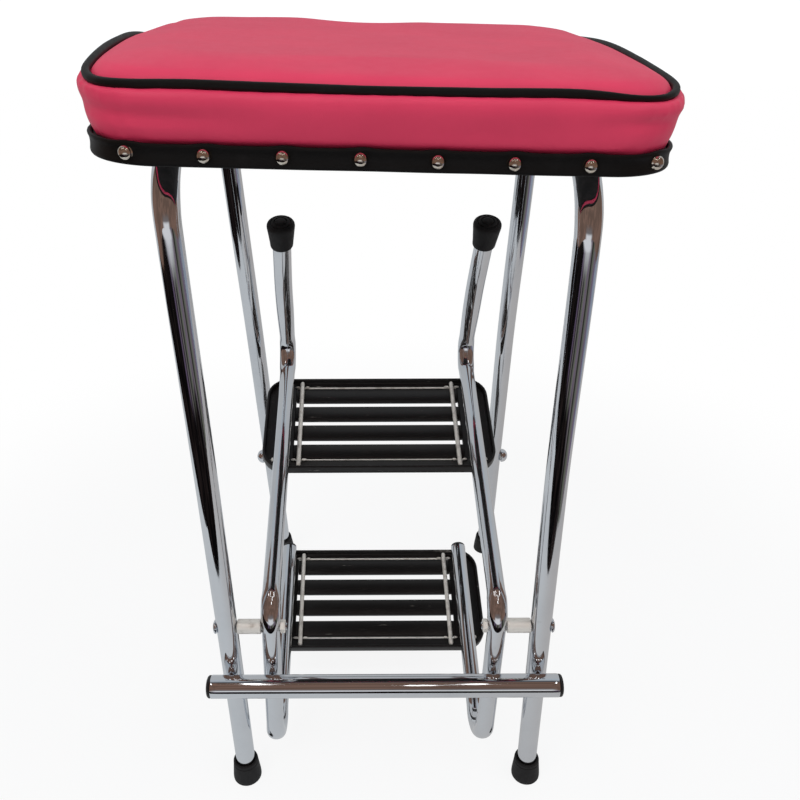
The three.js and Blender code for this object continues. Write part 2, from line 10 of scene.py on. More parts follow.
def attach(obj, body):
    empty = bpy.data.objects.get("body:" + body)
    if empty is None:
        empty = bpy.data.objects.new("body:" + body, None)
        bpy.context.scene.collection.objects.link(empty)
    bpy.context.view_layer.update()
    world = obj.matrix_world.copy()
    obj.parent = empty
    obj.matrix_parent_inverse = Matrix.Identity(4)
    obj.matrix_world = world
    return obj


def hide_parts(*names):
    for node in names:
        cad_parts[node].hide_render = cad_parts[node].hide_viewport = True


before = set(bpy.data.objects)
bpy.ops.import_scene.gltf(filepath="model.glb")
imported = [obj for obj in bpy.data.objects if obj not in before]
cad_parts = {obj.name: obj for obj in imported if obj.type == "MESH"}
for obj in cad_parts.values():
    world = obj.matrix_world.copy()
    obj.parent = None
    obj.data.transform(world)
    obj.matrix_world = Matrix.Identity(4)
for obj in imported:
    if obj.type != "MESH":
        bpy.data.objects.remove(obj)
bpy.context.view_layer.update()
print("frame loaded:", len(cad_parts), "CAD nodes")

# Places are worked out in mm, from the floor midway between the front legs' axes,
# and turned into the frame's metres by the four place functions below.
layout = {
    "outlineShift": -154.783,  # the frame's origin lies this far behind the front legs
    "frameX": 136.0,
    "legRadius": 9.0,
    "railHeight": 585.5,
    "rake": math.radians(2.1),
    # the stool in the photo stands a little askew: its steps lean, its seat is turned and higher on the left
    "skew": 0.0226,
    "skewFrom": 150.0,
    "rackAlong": -0.017,
    "rackUp": 0.045,
    "rackDown": 0.052,
    "footAside": 2.1,
    "footAsideFrom": 100.0,
    "footAsideOver": 95.0,
    "pinch": 0.016,
    "flare": {"left": 1.2, "right": 3.2},
    "flareFrom": 330.0,
    "flareOver": 220.0,
    "seatRoll": math.radians(2.05),
    "seatSpin": math.radians(2.0),
    "seatAside": 0.5,
    "seatMiddle": 118.5,
    "rearReach": 348.0,
    "rearLean": math.radians(10.9),
    "pivotHeight": 195.0,
    "stowTilt": math.radians(21.5),
    "gap": 0.3,
}
sides = {"left": -1, "right": 1}


def turnX(point, angle):
    x, y, z = point
    c, s = math.cos(angle), math.sin(angle)
    return Vector((x, y * c - z * s, y * s + z * c))


def stoolPlace(point):
    aside = layout["skew"] * (point[1] - layout["skewFrom"])
    return Vector((point[0] - aside, point[1] + layout["outlineShift"], point[2])) * 0.001


def smoothStep(value):
    value = min(1.0, max(0.0, value))
    return value * value * (3 - 2 * value)


def framePlace(point):
    # the side frames splay a little towards the seat
    side = "left" if point[0] < 0 else "right"
    share = smoothStep((point[2] - layout["flareFrom"]) / layout["flareOver"])
    splay = math.copysign(layout["flare"][side], point[0]) * share
    return stoolPlace((point[0] + splay, point[1], point[2]))


def stepPlace(point):
    # the steps are racked to one side and pinched towards their feet
    x, y, z = point
    aside = layout["rackAlong"] * y + layout["rackUp" if z > 0 else "rackDown"] * z
    nearFoot = smoothStep((z - layout["footAsideFrom"]) / layout["footAsideOver"])
    aside += layout["footAside"] * nearFoot - x * layout["pinch"] * y / stepShape["footReach"]
    turned = turnX((x + aside, y, z), layout["stowTilt"])
    return stoolPlace(turned + Vector((0, 0, layout["pivotHeight"])))


def seatPlace(point):
    rake, middle = layout["rake"], layout["seatMiddle"]
    c, s = math.cos(layout["seatSpin"]), math.sin(layout["seatSpin"])
    x, y = point[0], point[1] - middle
    spun = (x * c - y * s + layout["seatAside"], x * s + y * c + middle, point[2])
    rise = layout["legRadius"] + layout["gap"]  # from the rail's axis to the board's underside
    base = Vector((0, -math.sin(rake) * rise, layout["railHeight"] + math.cos(rake) * rise))
    raked = turnX(spun, rake)
    c, s = math.cos(layout["seatRoll"]), math.sin(layout["seatRoll"])
    rolled = Vector((raked.x * c + raked.z * s, raked.y, raked.z * c - raked.x * s))
    return stoolPlace(rolled + base)


# shader helpers
class Signal:
    # one shader socket, so that node maths reads as Python expressions
    def __init__(self, graph, socket):
        self.graph = graph
        self.socket = socket

    def out(self, name):
        return Signal(self.graph, self.socket.node.outputs[name])

    def maths(self, operation, *values):
        return self.graph.add("ShaderNodeMath", {"operation": operation}, values)

    def __add__(self, other):
        return self.maths("ADD", self, other)

    def __radd__(self, other):
        return self.maths("ADD", other, self)

    def __sub__(self, other):
        return self.maths("SUBTRACT", self, other)

    def __mul__(self, other):
        return self.maths("MULTIPLY", self, other)

    def __rmul__(self, other):
        return self.maths("MULTIPLY", other, self)


class Graph:
    def __init__(self, tree):
        self.tree = tree
        tree.nodes.clear()

    def add(self, kind, settings=None, inputs=(), output=0):
        node = self.tree.nodes.new(kind)
        for key, value in (settings or {}).items():
            if key == "stops":
                ramp = node.color_ramp
                while len(ramp.elements) < len(value):
                    ramp.elements.new(1.0)
                for element, (position, shade) in zip(ramp.elements, value):
                    element.position = position
                    element.color = shade
            else:
                setattr(node, key, value)
        pairs = inputs.items() if isinstance(inputs, dict) else enumerate(inputs)
        for key, value in pairs:
            if isinstance(value, Signal):
                self.tree.links.new(value.socket, node.inputs[key])
            else:
                node.inputs[key].default_value = value
        return Signal(self, node.outputs[output]) if len(node.outputs) else None

    def place(self):
        return self.add("ShaderNodeTexCoord", output="Object")

    def axis(self, name):
        return self.add("ShaderNodeSeparateXYZ", {}, (self.place(),), name)

    def rays(self):
        # 1 for a ray from the camera, from a mirror, or through glass
        seen = self.add("ShaderNodeLightPath", output="Is Camera Ray")
        return seen, seen.out("Is Glossy Ray"), seen.out("Is Transmission Ray")

    def stretched(self, scale):
        return self.add("ShaderNodeMapping", {}, {"Vector": self.place(), "Scale": scale})

    def noise(self, scale, detail=3.0, roughness=0.5, vector=None):
        values = {"Scale": scale, "Detail": detail, "Roughness": roughness}
        values["Vector"] = vector or self.place()
        return self.add("ShaderNodeTexNoise", {}, values)

    def cells(self, scale):
        values = {"Vector": self.place(), "Scale": scale}
        return self.add("ShaderNodeTexVoronoi", {"feature": "DISTANCE_TO_EDGE"}, values)

    def ramp(self, signal, low, high):
        settings = {"interpolation_type": "SMOOTHSTEP"}
        values = {"Value": signal, "From Min": low, "From Max": high}
        return self.add("ShaderNodeMapRange", settings, values)

    def blend(self, amount, first, second):
        return self.add("ShaderNodeMix", {"data_type": "RGBA"}, {0: amount, 6: first, 7: second}, 2)

    def bump(self, height, distance, strength=1.0, normal=None):
        values = {"Height": height, "Distance": distance, "Strength": strength}
        if normal:
            values["Normal"] = normal
        return self.add("ShaderNodeBump", {}, values)


def srgb(r, g, b):
    # a colour written in 0 to 255 screen steps
    parts = [v / 255 for v in (r, g, b)]
    return (*[v / 12.92 if v <= 0.04045 else ((v + 0.055) / 1.055) ** 2.4 for v in parts], 1)


def newMaterial(name):
    material = bpy.data.materials.new(name)
    material.use_nodes = True
    return material, Graph(material.node_tree)


def finish(name, paint):
    # paint(graph) returns the sockets of the Principled shader, by name
    material, graph = newMaterial(name)
    shader = graph.add("ShaderNodeBsdfPrincipled", {}, paint(graph))
    graph.add("ShaderNodeOutputMaterial", {}, {"Surface": shader})
    return material


# materials
pinkLook = {"vivid": srgb(214, 52, 88), "deep": srgb(202, 46, 82), "grain": 1150.0}


def paintPink(graph):
    # soft vinyl: leather grain in cells with a finer crease between them
    creases = graph.ramp(graph.cells(pinkLook["grain"]), 0.0, 0.22)
    fine = graph.noise(2600.0, 2.0)
    cloudy = graph.noise(22.0, 3.0)
    colour = graph.blend(graph.ramp(cloudy, 0.3, 0.7) * 0.5, pinkLook["vivid"], pinkLook["deep"])
    grain = graph.bump(creases * 0.7 + fine * 0.3, 0.00006, 0.55)
    soft = graph.bump(graph.noise(75.0, 2.0), 0.0004, 0.35, grain)
    return {
        "Base Color": colour,
        "Roughness": 0.44 + 0.1 * graph.noise(160.0, 4.0),
        "Normal": soft,
        "Specular IOR Level": 0.4,
    }


def paintBlackVinyl(graph):
    rubbed = graph.ramp(graph.noise(60.0, 5.0), 0.55, 0.8)
    grain = graph.bump(graph.ramp(graph.cells(1400.0), 0.0, 0.2), 0.00004, 0.4)
    return {
        "Base Color": graph.blend(rubbed * 0.5, srgb(13, 12, 12), srgb(26, 24, 24)),
        "Roughness": 0.42 + 0.16 * graph.noise(120.0, 4.0),
        "Normal": graph.bump(graph.noise(240.0, 3.0), 0.00012, 0.4, grain),
        "Specular IOR Level": 0.24,
    }


def paintChrome(graph):
    # bright plating with a faint haze, fine scratches along the tube and a few pits
    haze = graph.ramp(graph.noise(14.0, 5.0, 0.6), 0.42, 0.8)
    lines = graph.noise(1.0, 4.0, 0.7, graph.stretched((900.0, 900.0, 60.0)))
    scratches = graph.ramp(lines, 0.66, 0.74)
    pits = graph.ramp(graph.noise(900.0, 2.0), 0.74, 0.8)
    tarnish = graph.ramp(graph.noise(55.0, 6.0, 0.7), 0.62, 0.78)
    clean = graph.blend(haze * 0.5, srgb(226, 229, 233), srgb(206, 210, 216))
    worn = graph.blend(tarnish * 0.35, clean, srgb(150, 142, 134))
    return {
        "Base Color": graph.blend(pits * 0.6, worn, srgb(96, 86, 78)),
        "Metallic": 1.0,
        "Roughness": 0.045 + haze * 0.06 + scratches * 0.12 + pits * 0.25,
        "Normal": graph.bump(graph.noise(38.0, 2.0), 0.0003, 0.12),
    }


def paintNickel(graph):
    dull = graph.ramp(graph.noise(420.0, 4.0), 0.5, 0.8)
    return {
        "Base Color": graph.blend(dull, srgb(226, 218, 206), srgb(178, 162, 146)),
        "Metallic": 1.0,
        "Roughness": 0.1 + dull * 0.14,
    }


def paintZinc(graph):
    streaks = graph.noise(1.0, 4.0, 0.6, graph.stretched((160.0, 900.0, 900.0)))
    dirt = graph.ramp(graph.noise(130.0, 5.0), 0.5, 0.75)
    return {
        "Base Color": graph.blend(dirt * 0.5, srgb(240, 236, 229), srgb(168, 159, 147)),
        "Metallic": 0.4 + dirt * 0.2,
        "Roughness": 0.26 + streaks * 0.22,
        "Normal": graph.bump(streaks, 0.00008, 0.4),
    }


def paintRubber(graph):
    dust = graph.ramp(graph.noise(340.0, 6.0, 0.7), 0.58, 0.8)
    return {
        "Base Color": graph.blend(dust * 0.5, srgb(21, 21, 23), srgb(58, 56, 55)),
        "Roughness": 0.52 + 0.25 * graph.noise(210.0, 4.0),
        "Normal": graph.bump(graph.noise(1500.0, 3.0), 0.00005, 0.5),
        "Specular IOR Level": 0.4,
    }


def paintTread(graph):
    # black enamel, scuffed and dusty, with pale patches painted in as glints on the glossy enamel
    scuffs = graph.noise(1.0, 6.0, 0.65, graph.stretched((55.0, 260.0, 260.0)))
    worn = graph.ramp(scuffs, 0.6, 0.74)
    specks = graph.ramp(graph.noise(1100.0, 2.0), 0.7, 0.78)
    # pale patches in stretched noise: painted glints of bright light on the glossy enamel, set as chipped
    # spots
    glintChips = graph.ramp(graph.noise(1.0, 5.0, 0.6, graph.stretched((22.0, 210.0, 210.0))), 0.68, 0.74)
    base = graph.blend(worn * 0.5, srgb(20, 18, 18), srgb(50, 43, 40))
    # rubbed here is the scuffed enamel with the painted glints laid over it
    rubbed = graph.blend(glintChips * 0.55, base, srgb(176, 170, 162))
    return {
        "Base Color": graph.blend(specks * 0.5, rubbed, srgb(120, 114, 108)),
        "Roughness": 0.27 + worn * 0.26 + graph.noise(90.0, 4.0) * 0.14,
        "Normal": graph.bump(graph.noise(520.0, 4.0), 0.00008, 0.5),
        "Specular IOR Level": 0.45,
    }


def paintPlug(graph):
    return {
        "Base Color": graph.blend(graph.noise(300.0, 4.0), srgb(18, 18, 19), srgb(32, 31, 31)),
        "Roughness": 0.34 + 0.2 * graph.noise(260.0, 4.0),
        "Normal": graph.bump(graph.noise(900.0, 3.0), 0.00004, 0.5),
    }


def paintPlywood(graph):
    # blackened board: long grain across the stool and a few pores show through
    rings = graph.noise(1.0, 5.0, 0.6, graph.stretched((9.0, 95.0, 95.0)))
    pores = graph.ramp(graph.noise(1.0, 3.0, 0.6, graph.stretched((60.0, 1500.0, 1500.0))), 0.62, 0.72)
    wood = graph.blend(graph.ramp(rings, 0.35, 0.65), srgb(36, 31, 29), srgb(24, 21, 20))
    return {
        "Base Color": graph.blend(pores * 0.6, wood, srgb(14, 12, 11)),
        "Roughness": 0.6 + 0.2 * rings,
        "Normal": graph.bump(rings - pores * 0.5, 0.0002, 0.4),
    }


# each look's material, and the slot of the record that its pieces fill
looks = {
    "pinkVinyl": (finish("pinkVinyl", paintPink), "pink_vinyl"),
    "blackVinyl": (finish("blackVinyl", paintBlackVinyl), "black_vinyl"),
    "chrome": (finish("chromePlate", paintChrome), "chrome"),
    "nickel": (finish("nickelNail", paintNickel), "zinc"),
    "zinc": (finish("zincPlate", paintZinc), "zinc"),
    "rubber": (finish("blackRubber", paintRubber), "rubber"),
    "tread": (finish("treadEnamel", paintTread), "black_plastic"),
    "plug": (finish("plugPlastic", paintPlug), "black_plastic"),
    "plywood": (finish("plywood", paintPlywood), "plywood"),
}
print("materials made:", len(looks))
# bolts and capped nuts are zinc parts as bright as the chrome
looks["bolt"] = (looks["chrome"][0], "zinc")


# mesh helpers
def linked(name, data):
    thing = bpy.data.objects.new(name, data)
    bpy.context.scene.collection.objects.link(thing)
    return thing


def addPiece(name, points, faces, look, nodes, body="stool", crease=35.0):
    mesh = bpy.data.meshes.new(name)
    mesh.from_pydata([tuple(p) for p in points], [], faces)
    shell = bmesh.new()
    shell.from_mesh(mesh)
    bmesh.ops.remove_doubles(shell, verts=shell.verts, dist=1e-6)
    bmesh.ops.recalc_face_normals(shell, faces=shell.faces)
    limit = math.radians(crease)
    for edge in shell.edges:
        edge.smooth = len(edge.link_faces) != 2 or edge.calc_face_angle() < limit
    for face in shell.faces:
        face.smooth = True
    shell.to_mesh(mesh)
    shell.free()
    piece = linked(name, mesh)
    material, slot = looks[look]
    mesh.materials.append(material)
    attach(piece, body)
    if nodes:
        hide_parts(*nodes)
    return piece


def joinRings(rings, loop=False):
    # quads between rings of equal size; an open stack is closed by its end faces
    count = len(rings[0])
    points = [p for ring in rings for p in ring]
    faces = []
    for r in range(len(rings) if loop else len(rings) - 1):
        low, high = r * count, ((r + 1) % len(rings)) * count
        for i in range(count):
            j = (i + 1) % count
            faces.append((low + i, low + j, high + j, high + i))
    if not loop:
        faces.append(tuple(reversed(range(count))))
        faces.append(tuple(range(len(points) - count, len(points))))
    return points, faces


def gather(shells):
    # several shells as the points and faces of one mesh
    points, faces = [], []
    for some, more in shells:
        faces += [tuple(i + len(points) for i in face) for face in more]
        points += some
    return points, faces


def addSkin(name, rings, look, nodes, body="stool", crease=35.0, loop=False):
    return addPiece(name, *joinRings(rings, loop), look, nodes, body, crease)


def turnedRings(profile, axis, origin, segments, place):
    # rings round an axis; profile holds (radius, distance along the axis) in mm
    axis = Vector(axis).normalized()
    across = axis.orthogonal().normalized()
    other = axis.cross(across)
    origin = Vector(origin)
    rings = []
    for radius, along in profile:
        ring = []
        for i in range(segments):
            angle = 2 * math.pi * i / segments
            out = across * math.cos(angle) + other * math.sin(angle)
            ring.append(place(origin + axis * along + out * max(radius, 1e-4)))
        rings.append(ring)
    return rings


def addTurned(name, profile, axis, origin, look, nodes, body="stool", place=stoolPlace, segments=40):
    return addSkin(name, turnedRings(profile, axis, origin, segments, place), look, nodes, body)


def arc(radius, base, height, steps=7):
    # profile of a low dome, edge first
    turn = [math.pi / 2 * k / steps for k in range(steps + 1)]
    return [(radius * math.cos(a), base + height * math.sin(a)) for a in turn]


def mirrored(profile):
    # the same profile at the other end
    return [(radius, -along) for radius, along in reversed(profile)]


# bent tubes
def bentRoute(corners, bends, runStep=7.0, bendStep=4.0):
    # stations (y, z, heading y, heading z, how far into a bend) along runs and arcs
    stations = []
    corners = [Vector(c) for c in corners]
    cursor = corners[0]
    for i, radius in enumerate(bends, 1):
        before = (corners[i] - corners[i - 1]).normalized()
        after = (corners[i + 1] - corners[i]).normalized()
        turn = before.angle(after)
        hand = 1 if before.cross(after) > 0 else -1
        start = corners[i] - before * radius * math.tan(turn / 2)
        runs = max(1, round((start - cursor).length / runStep))
        stations += [(*cursor.lerp(start, k / runs), *before, 0.0) for k in range(runs)]
        centre = start + Vector((-before.y, before.x)) * radius * hand
        pieces = max(6, round(radius * turn / bendStep))
        for k in range(pieces + 1):
            part = turn * k / pieces * hand
            c, s = math.cos(part), math.sin(part)
            arm = start - centre
            spot = centre + Vector((arm.x * c - arm.y * s, arm.x * s + arm.y * c))
            heading = (before.x * c - before.y * s, before.x * s + before.y * c)
            share = k / pieces
            stations.append((*spot, *heading, smoothStep(min(share, 1 - share) * 4)))
        cursor = corners[i] + after * radius * math.tan(turn / 2)
    last = (corners[-1] - corners[-2]).normalized()
    runs = max(1, round((corners[-1] - cursor).length / runStep))
    stations += [(*cursor.lerp(corners[-1], k / runs), *last, 0.0) for k in range(1, runs + 1)]
    return stations


def addTube(name, x, stations, tube, nodes, body, place):
    rings = []
    for y, z, headY, headZ, bent in stations:
        inPlane = tube["radius"] * (1 - tube["flatten"] * bent)
        broad = 0.0
        if "broad" in tube:
            # pressed a little broader towards the foot
            up, ahead = (z - tube["broadUp"]) / tube["fade"], (y - tube["broadAhead"]) / tube["fade"]
            broad = tube["broad"] * smoothStep(up) * smoothStep(ahead)
        across = tube["radius"] * (1 + tube["spread"] * bent + broad)
        ring = []
        for i in range(tube["sides"]):
            angle = 2 * math.pi * i / tube["sides"]
            u, v = math.cos(angle) * across, math.sin(angle) * inPlane
            ring.append(place((x + u, y - headZ * v, z + headY * v)))
        rings.append(ring)
    addSkin(name, rings, "chrome", nodes, body)


def onRearLeg(height):
    return (layout["rearReach"] - height * math.tan(layout["rearLean"]), height)


legTube = {
    "radius": layout["legRadius"], "sides": 48, "flatten": 0.07, "spread": 0.035,
    "bends": [44.0, 60.0],  # at the front and at the rear
    "start": 5.3,  # where the tube begins inside its ferrule
}
lean, rake = layout["rearLean"], layout["rake"]
for side, sign in sides.items():
    x = sign * layout["frameX"]
    railTop = layout["railHeight"] - x * math.sin(layout["seatRoll"])
    reachAtRail = layout["rearReach"] - railTop * math.tan(lean)
    rearRise = reachAtRail * math.tan(rake) / (1 + math.tan(rake) * math.tan(lean))
    ends = [(0, legTube["start"]), (0, railTop), onRearLeg(railTop + rearRise)]
    ends.append(onRearLeg(legTube["start"] * math.cos(lean)))
    route = bentRoute(ends, legTube["bends"])
    addTube(f"sideFrame_{side}", x, route, legTube, [f"side_frame_{side}"], "stool", framePlace)

bar = {"radius": 10.0, "wall": 1.5, "length": 304.0, "height": 143.0, "y": -19.3}
barEdge = [(0.8, 0.0), (0.2, 0.25), (0.0, 0.9)]  # distances in from the side and from the end
half = bar["length"] / 2
barProfile = [(bar["radius"] - inset, along - half) for inset, along in barEdge]
barProfile += [(bar["radius"], -half + bar["length"] * k / 40) for k in range(1, 40)]
barProfile += mirrored(barProfile[:3])
barSpot = (0, bar["y"], bar["height"])
addTurned("crossbar", barProfile, (1, 0, 0), barSpot, "chrome", ["front_crossbar"], segments=56)
print("stool tubes done")

stepTube = {
    "radius": 8.0, "wall": 1.4, "sides": 44, "flatten": 0.1, "spread": 0.09,
    "broad": 0.13, "broadUp": 30.0, "broadAhead": 200.0, "fade": 60.0,
}
stepShape = {
    "x": 98.0, "rise": 15.2, "footReach": 309.0, "innerDrop": 160.0, "innerReach": 168.0,
    "footEnd": 194.7, "capFloor": 6.0, "bends": [30.0, 28.0, 38.0],
}
barDrop = layout["pivotHeight"] - bar["height"]
contact = bar["radius"] + stepTube["radius"] + layout["gap"]
riserLean = math.acos(contact / math.hypot(bar["y"], barDrop)) - math.atan2(barDrop, -bar["y"])
riserSlope = math.tan(riserLean + layout["stowTilt"])
stepRoute = bentRoute(
    [
        (stepShape["footReach"], stepShape["footEnd"] - stepShape["capFloor"] - layout["gap"]),
        (stepShape["footReach"], stepShape["rise"]),
        (stepShape["rise"] * riserSlope, stepShape["rise"]),
        (-stepShape["innerDrop"] * riserSlope, -stepShape["innerDrop"]),
        (stepShape["innerReach"], -stepShape["innerDrop"]),
    ],
    stepShape["bends"],
    runStep=6.0,
    bendStep=3.0,
)
for side, sign in sides.items():
    x = sign * stepShape["x"]
    addTube(f"stepTube_{side}", x, stepRoute, stepTube, [f"step_tube_{side}"], "steps", stepPlace)
print("step tubes done")

# rubber ferrules and plugs
ferrule = {"radius": 13.4, "sole": 5.0}
legFootProfile = [
    (0, 0.6), (5.4, 0.6), (6.0, 0.1), (8.4, 0.0), (9.0, 1.2), (10.2, 1.2), (10.8, 0.1), (12.3, 0.0),
    (13.0, 0.35), (13.35, 1.0), (13.45, 2.2), (13.35, 5.0), (13.0, 9.0), (12.5, 14.0), (12.0, 19.0),
    (11.9, 20.2), (11.5, 20.6), (11.5, 21.1), (11.85, 21.5), (11.75, 22.6), (11.6, 23.6), (11.25, 24.5),
    (10.6, 24.95), (9.8, 24.9), (9.25, 24.4), (9.1, 23.6), (9.1, 5.4), (0, 5.4),
]
stepFootProfile = [
    (0, -1.2), (3.0, -1.1), (4.6, -0.8), (5.2, -0.3), (5.5, 0.5), (6.2, 0.5), (6.6, -0.2), (8.2, 0.1),
    (8.8, 0.6), (9.1, 1.5), (9.9, 1.5), (10.3, 0.9), (11.8, 1.5), (12.8, 2.3), (13.35, 3.4), (13.5, 4.8),
    (13.35, 6.4), (12.7, 11.5), (12.1, 17.0), (11.5, 22.0), (11.2, 25.6), (11.0, 27.0), (10.6, 27.7),
    (9.9, 28.0), (9.3, 27.9), (9.1, 27.3), (9.05, 26.4), (9.05, 7.4), (0, 7.4),
]


def plugProfile(tube):
    # a stem inside the tube and a low domed cap over its end
    stem, edge = tube["radius"] - tube["wall"] - 0.4, tube["radius"] - 0.25
    profile = [(0, -12), (stem - 1.4, -12), (stem, -10.6), (stem, 0.3), (edge - 0.2, 0.3), (edge, 0.55)]
    dome = [(0.995, 1.3), (0.97, 2.1), (0.9, 2.8), (0.76, 3.35), (0.5, 3.75), (0.25, 3.9), (0, 3.95)]
    return profile + [(edge * share, along) for share, along in dome]


rearUp = Vector((0, -math.sin(lean), math.cos(lean)))
for side, sign in sides.items():
    x = sign * layout["frameX"]
    nodes = [f"foot_front_{side}"]
    addTurned(f"frontFoot_{side}", legFootProfile, (0, 0, 1), (x, 0, 0), "rubber", nodes, segments=56)

    # the slanted foot is longer by what stands below its back edge, then cut level
    sink = ferrule["radius"] * math.tan(lean)
    profile = [(r, a + sink if a > ferrule["sole"] else a) for r, a in legFootProfile]
    spot = Vector((x, layout["rearReach"], 0)) - rearUp * sink
    nodes = [f"foot_rear_{side}"]
    foot = addTurned(f"rearFoot_{side}", profile, rearUp, spot, "rubber", nodes, segments=56)
    shell = bmesh.new()
    shell.from_mesh(foot.data)
    everything = list(shell.verts) + list(shell.edges) + list(shell.faces)
    floorPlane = {"plane_co": (0, 0, 0), "plane_no": (0, 0, 1)}
    cut = bmesh.ops.bisect_plane(shell, geom=everything, clear_inner=True, **floorPlane)
    rim = [e for e in cut["geom_cut"] if isinstance(e, bmesh.types.BMEdge)]
    bmesh.ops.holes_fill(shell, edges=rim, sides=0)
    for edge in rim:
        edge.smooth = False
    shell.to_mesh(foot.data)
    shell.free()

    spot = (sign * stepShape["x"], stepShape["footReach"], stepShape["footEnd"])
    nodes = [f"step_foot_{side}"]
    addTurned(f"stepFoot_{side}", stepFootProfile, (0, 0, -1), spot, "rubber", nodes, "steps", stepPlace, 56)

    spot = (sign * bar["length"] / 2, bar["y"], bar["height"])
    nodes = [f"crossbar_plug_{side}"]
    addTurned(f"barPlug_{side}", plugProfile(bar), (sign, 0, 0), spot, "plug", nodes)
    spot = (sign * stepShape["x"], stepShape["innerReach"], -stepShape["innerDrop"])
    nodes = [f"step_tube_plug_{side}"]
    addTurned(f"stepPlug_{side}", plugProfile(stepTube), (0, 1, 0), spot, "plug", nodes, "steps", stepPlace)
print("feet and plugs done")


# fasteners
def rodProfile(radius, end, edge):
    # a round bar about its middle, with broken edges
    return [(radius - edge, -end), (radius, -end + edge), (radius, end - edge), (radius - edge, end)]


bolt = {
    "radius": 3.2, "head": 6.2, "headHeight": 2.6, "edge": 0.5, "tip": 0.6, "proud": 1.2,
    "spacer": 6.4, "spacerPlay": 0.4, "nutAcross": 10.2, "nutHeight": 4.4, "nutEdge": 0.7,
}
tie = {"radius": 4.0, "height": 169.0, "nut": 8.0, "nutHeight": 8.0, "nutWall": 1.4, "grip": 5.0, "edge": 0.4}
legOuter, legInner = layout["frameX"] + legTube["radius"], layout["frameX"] - legTube["radius"]
stepOuter, stepInner = stepShape["x"] + stepTube["radius"], stepShape["x"] - stepTube["radius"]
gap = layout["gap"]
tieY = onRearLeg(tie["height"])[0]
for side, sign in sides.items():
    height, radius, edge = layout["pivotHeight"], bolt["radius"], bolt["edge"]
    shank = legOuter + gap - (stepInner - gap - bolt["nutHeight"]) + bolt["proud"]
    profile = mirrored(arc(bolt["head"], edge, bolt["headHeight"] - edge))
    profile += [(bolt["head"], 0), (radius, 0), (radius, shank - bolt["tip"])]
    profile += [(radius - bolt["tip"], shank), (0, shank)]
    spot = (sign * (legOuter + gap), 0, height)
    addTurned(f"pivotBolt_{side}", profile, (-sign, 0, 0), spot, "bolt", [f"pivot_bolt_{side}"])

    length, play = legInner - stepOuter - 2 * gap, bolt["spacerPlay"]
    rim, bore = bolt["spacer"], radius + play
    profile = [(bore, play), (bore + play, 0), (rim - edge, 0), (rim, edge), (rim, length - edge)]
    profile += [(rim - edge, length), (bore + play, length), (bore, length - play)]
    rings = turnedRings(profile, (sign, 0, 0), (sign * (stepOuter + gap), 0, height), 40, stoolPlace)
    addSkin(f"pivotSpacer_{side}", rings, "zinc", [f"pivot_spacer_{side}"], loop=True)

    corner, deep, edge = bolt["nutAcross"] / math.sqrt(3), bolt["nutHeight"], bolt["nutEdge"]
    bore = radius + gap
    profile = [(bore, 0), (corner - edge, 0), (corner, edge), (corner, deep - edge)]
    profile += [(corner - edge, deep), (bore, deep)]
    rings = turnedRings(profile, (-sign, 0, 0), (sign * (stepInner - gap), 0, height), 6, stoolPlace)
    addSkin(f"pivotNut_{side}", rings, "zinc", [f"pivot_nut_{side}"], crease=25.0, loop=True)

    profile = [(tie["radius"] + gap, 0), (tie["nut"] - 0.3, 0), (tie["nut"], 0.4)]
    profile += arc(tie["nut"], tie["nutWall"], tie["nutHeight"] - tie["nutWall"], 9)
    spot = (sign * (legOuter + gap), tieY, tie["height"])
    addTurned(f"tieNut_{side}", profile, (sign, 0, 0), spot, "bolt", [f"tie_rod_nut_{side}"])
profile = rodProfile(tie["radius"], legOuter + gap + tie["grip"], tie["edge"])
addTurned("tieRod", profile, (1, 0, 0), (0, tieY, tie["height"]), "zinc", ["rear_tie_rod"])
print("fasteners done")


# outlines that the treads and the seat follow
def outline(shape, offset=0.0, cornerSteps=8, runSteps=1):
    # (x, y, outward x, outward y) round a rectangle with round corners, from the right back
    w, d, r = shape["width"] / 2, shape["depth"] / 2, shape["corner"]
    centre = shape.get("centre", 0.0)
    hubs = [(w - r, d - r), (r - w, d - r), (r - w, r - d), (w - r, r - d)]
    spots = []
    for quarter, (hx, hy) in enumerate(hubs):
        nx, ny = hubs[(quarter + 1) % 4]
        stops = [(hx, hy, quarter + i / cornerSteps) for i in range(cornerSteps + 1)]
        for k in range(1, runSteps):
            stops.append((hx + (nx - hx) * k / runSteps, hy + (ny - hy) * k / runSteps, quarter + 1))
        for x, y, quarters in stops:
            angle = math.pi / 2 * quarters
            c, s = math.cos(angle), math.sin(angle)
            spots.append((x + c * (r + offset), centre + y + s * (r + offset), c, s))
    return spots


# treads
tread = {
    "width": 238.0, "depth": 118.0, "corner": 23.0, "height": 11.0, "plate": 5.6, "lip": 3.0,
    "sideRim": 31.5, "rearRim": 7.5, "frontRim": 12.5, "slats": 4, "slatWidth": 17.9, "slatGap": 7.1,
    "slatLength": 174.8, "rodSpacing": 163.0, "rod": 2.3, "wire": 1.1, "rivet": 2.6, "rivetHeight": 1.6,
    "rivetInset": 11.5, "rivetFront": 13.0, "overlap": 0.4, "slatSteps": 24, "tuck": 0.06, "tuckOver": 2.5,
    "upperReach": 163.0, "lowerReach": 52.0,
}
weld = {"length": 2.6, "uneven": 0.5, "radius": 1.3, "lift": 0.7, "edgeLift": 0.2, "aside": (-5.2, 5.4)}
openWidth = tread["width"] - 2 * tread["sideRim"]
openDepth = tread["depth"] - tread["rearRim"] - tread["frontRim"]
openCentre = (tread["frontRim"] - tread["rearRim"]) / 2
opening = {"width": openWidth, "depth": openDepth, "corner": 2.0, "centre": openCentre}
wireSlot = 2 * (tread["wire"] + gap)
plateTop = tread["plate"] - tread["height"]


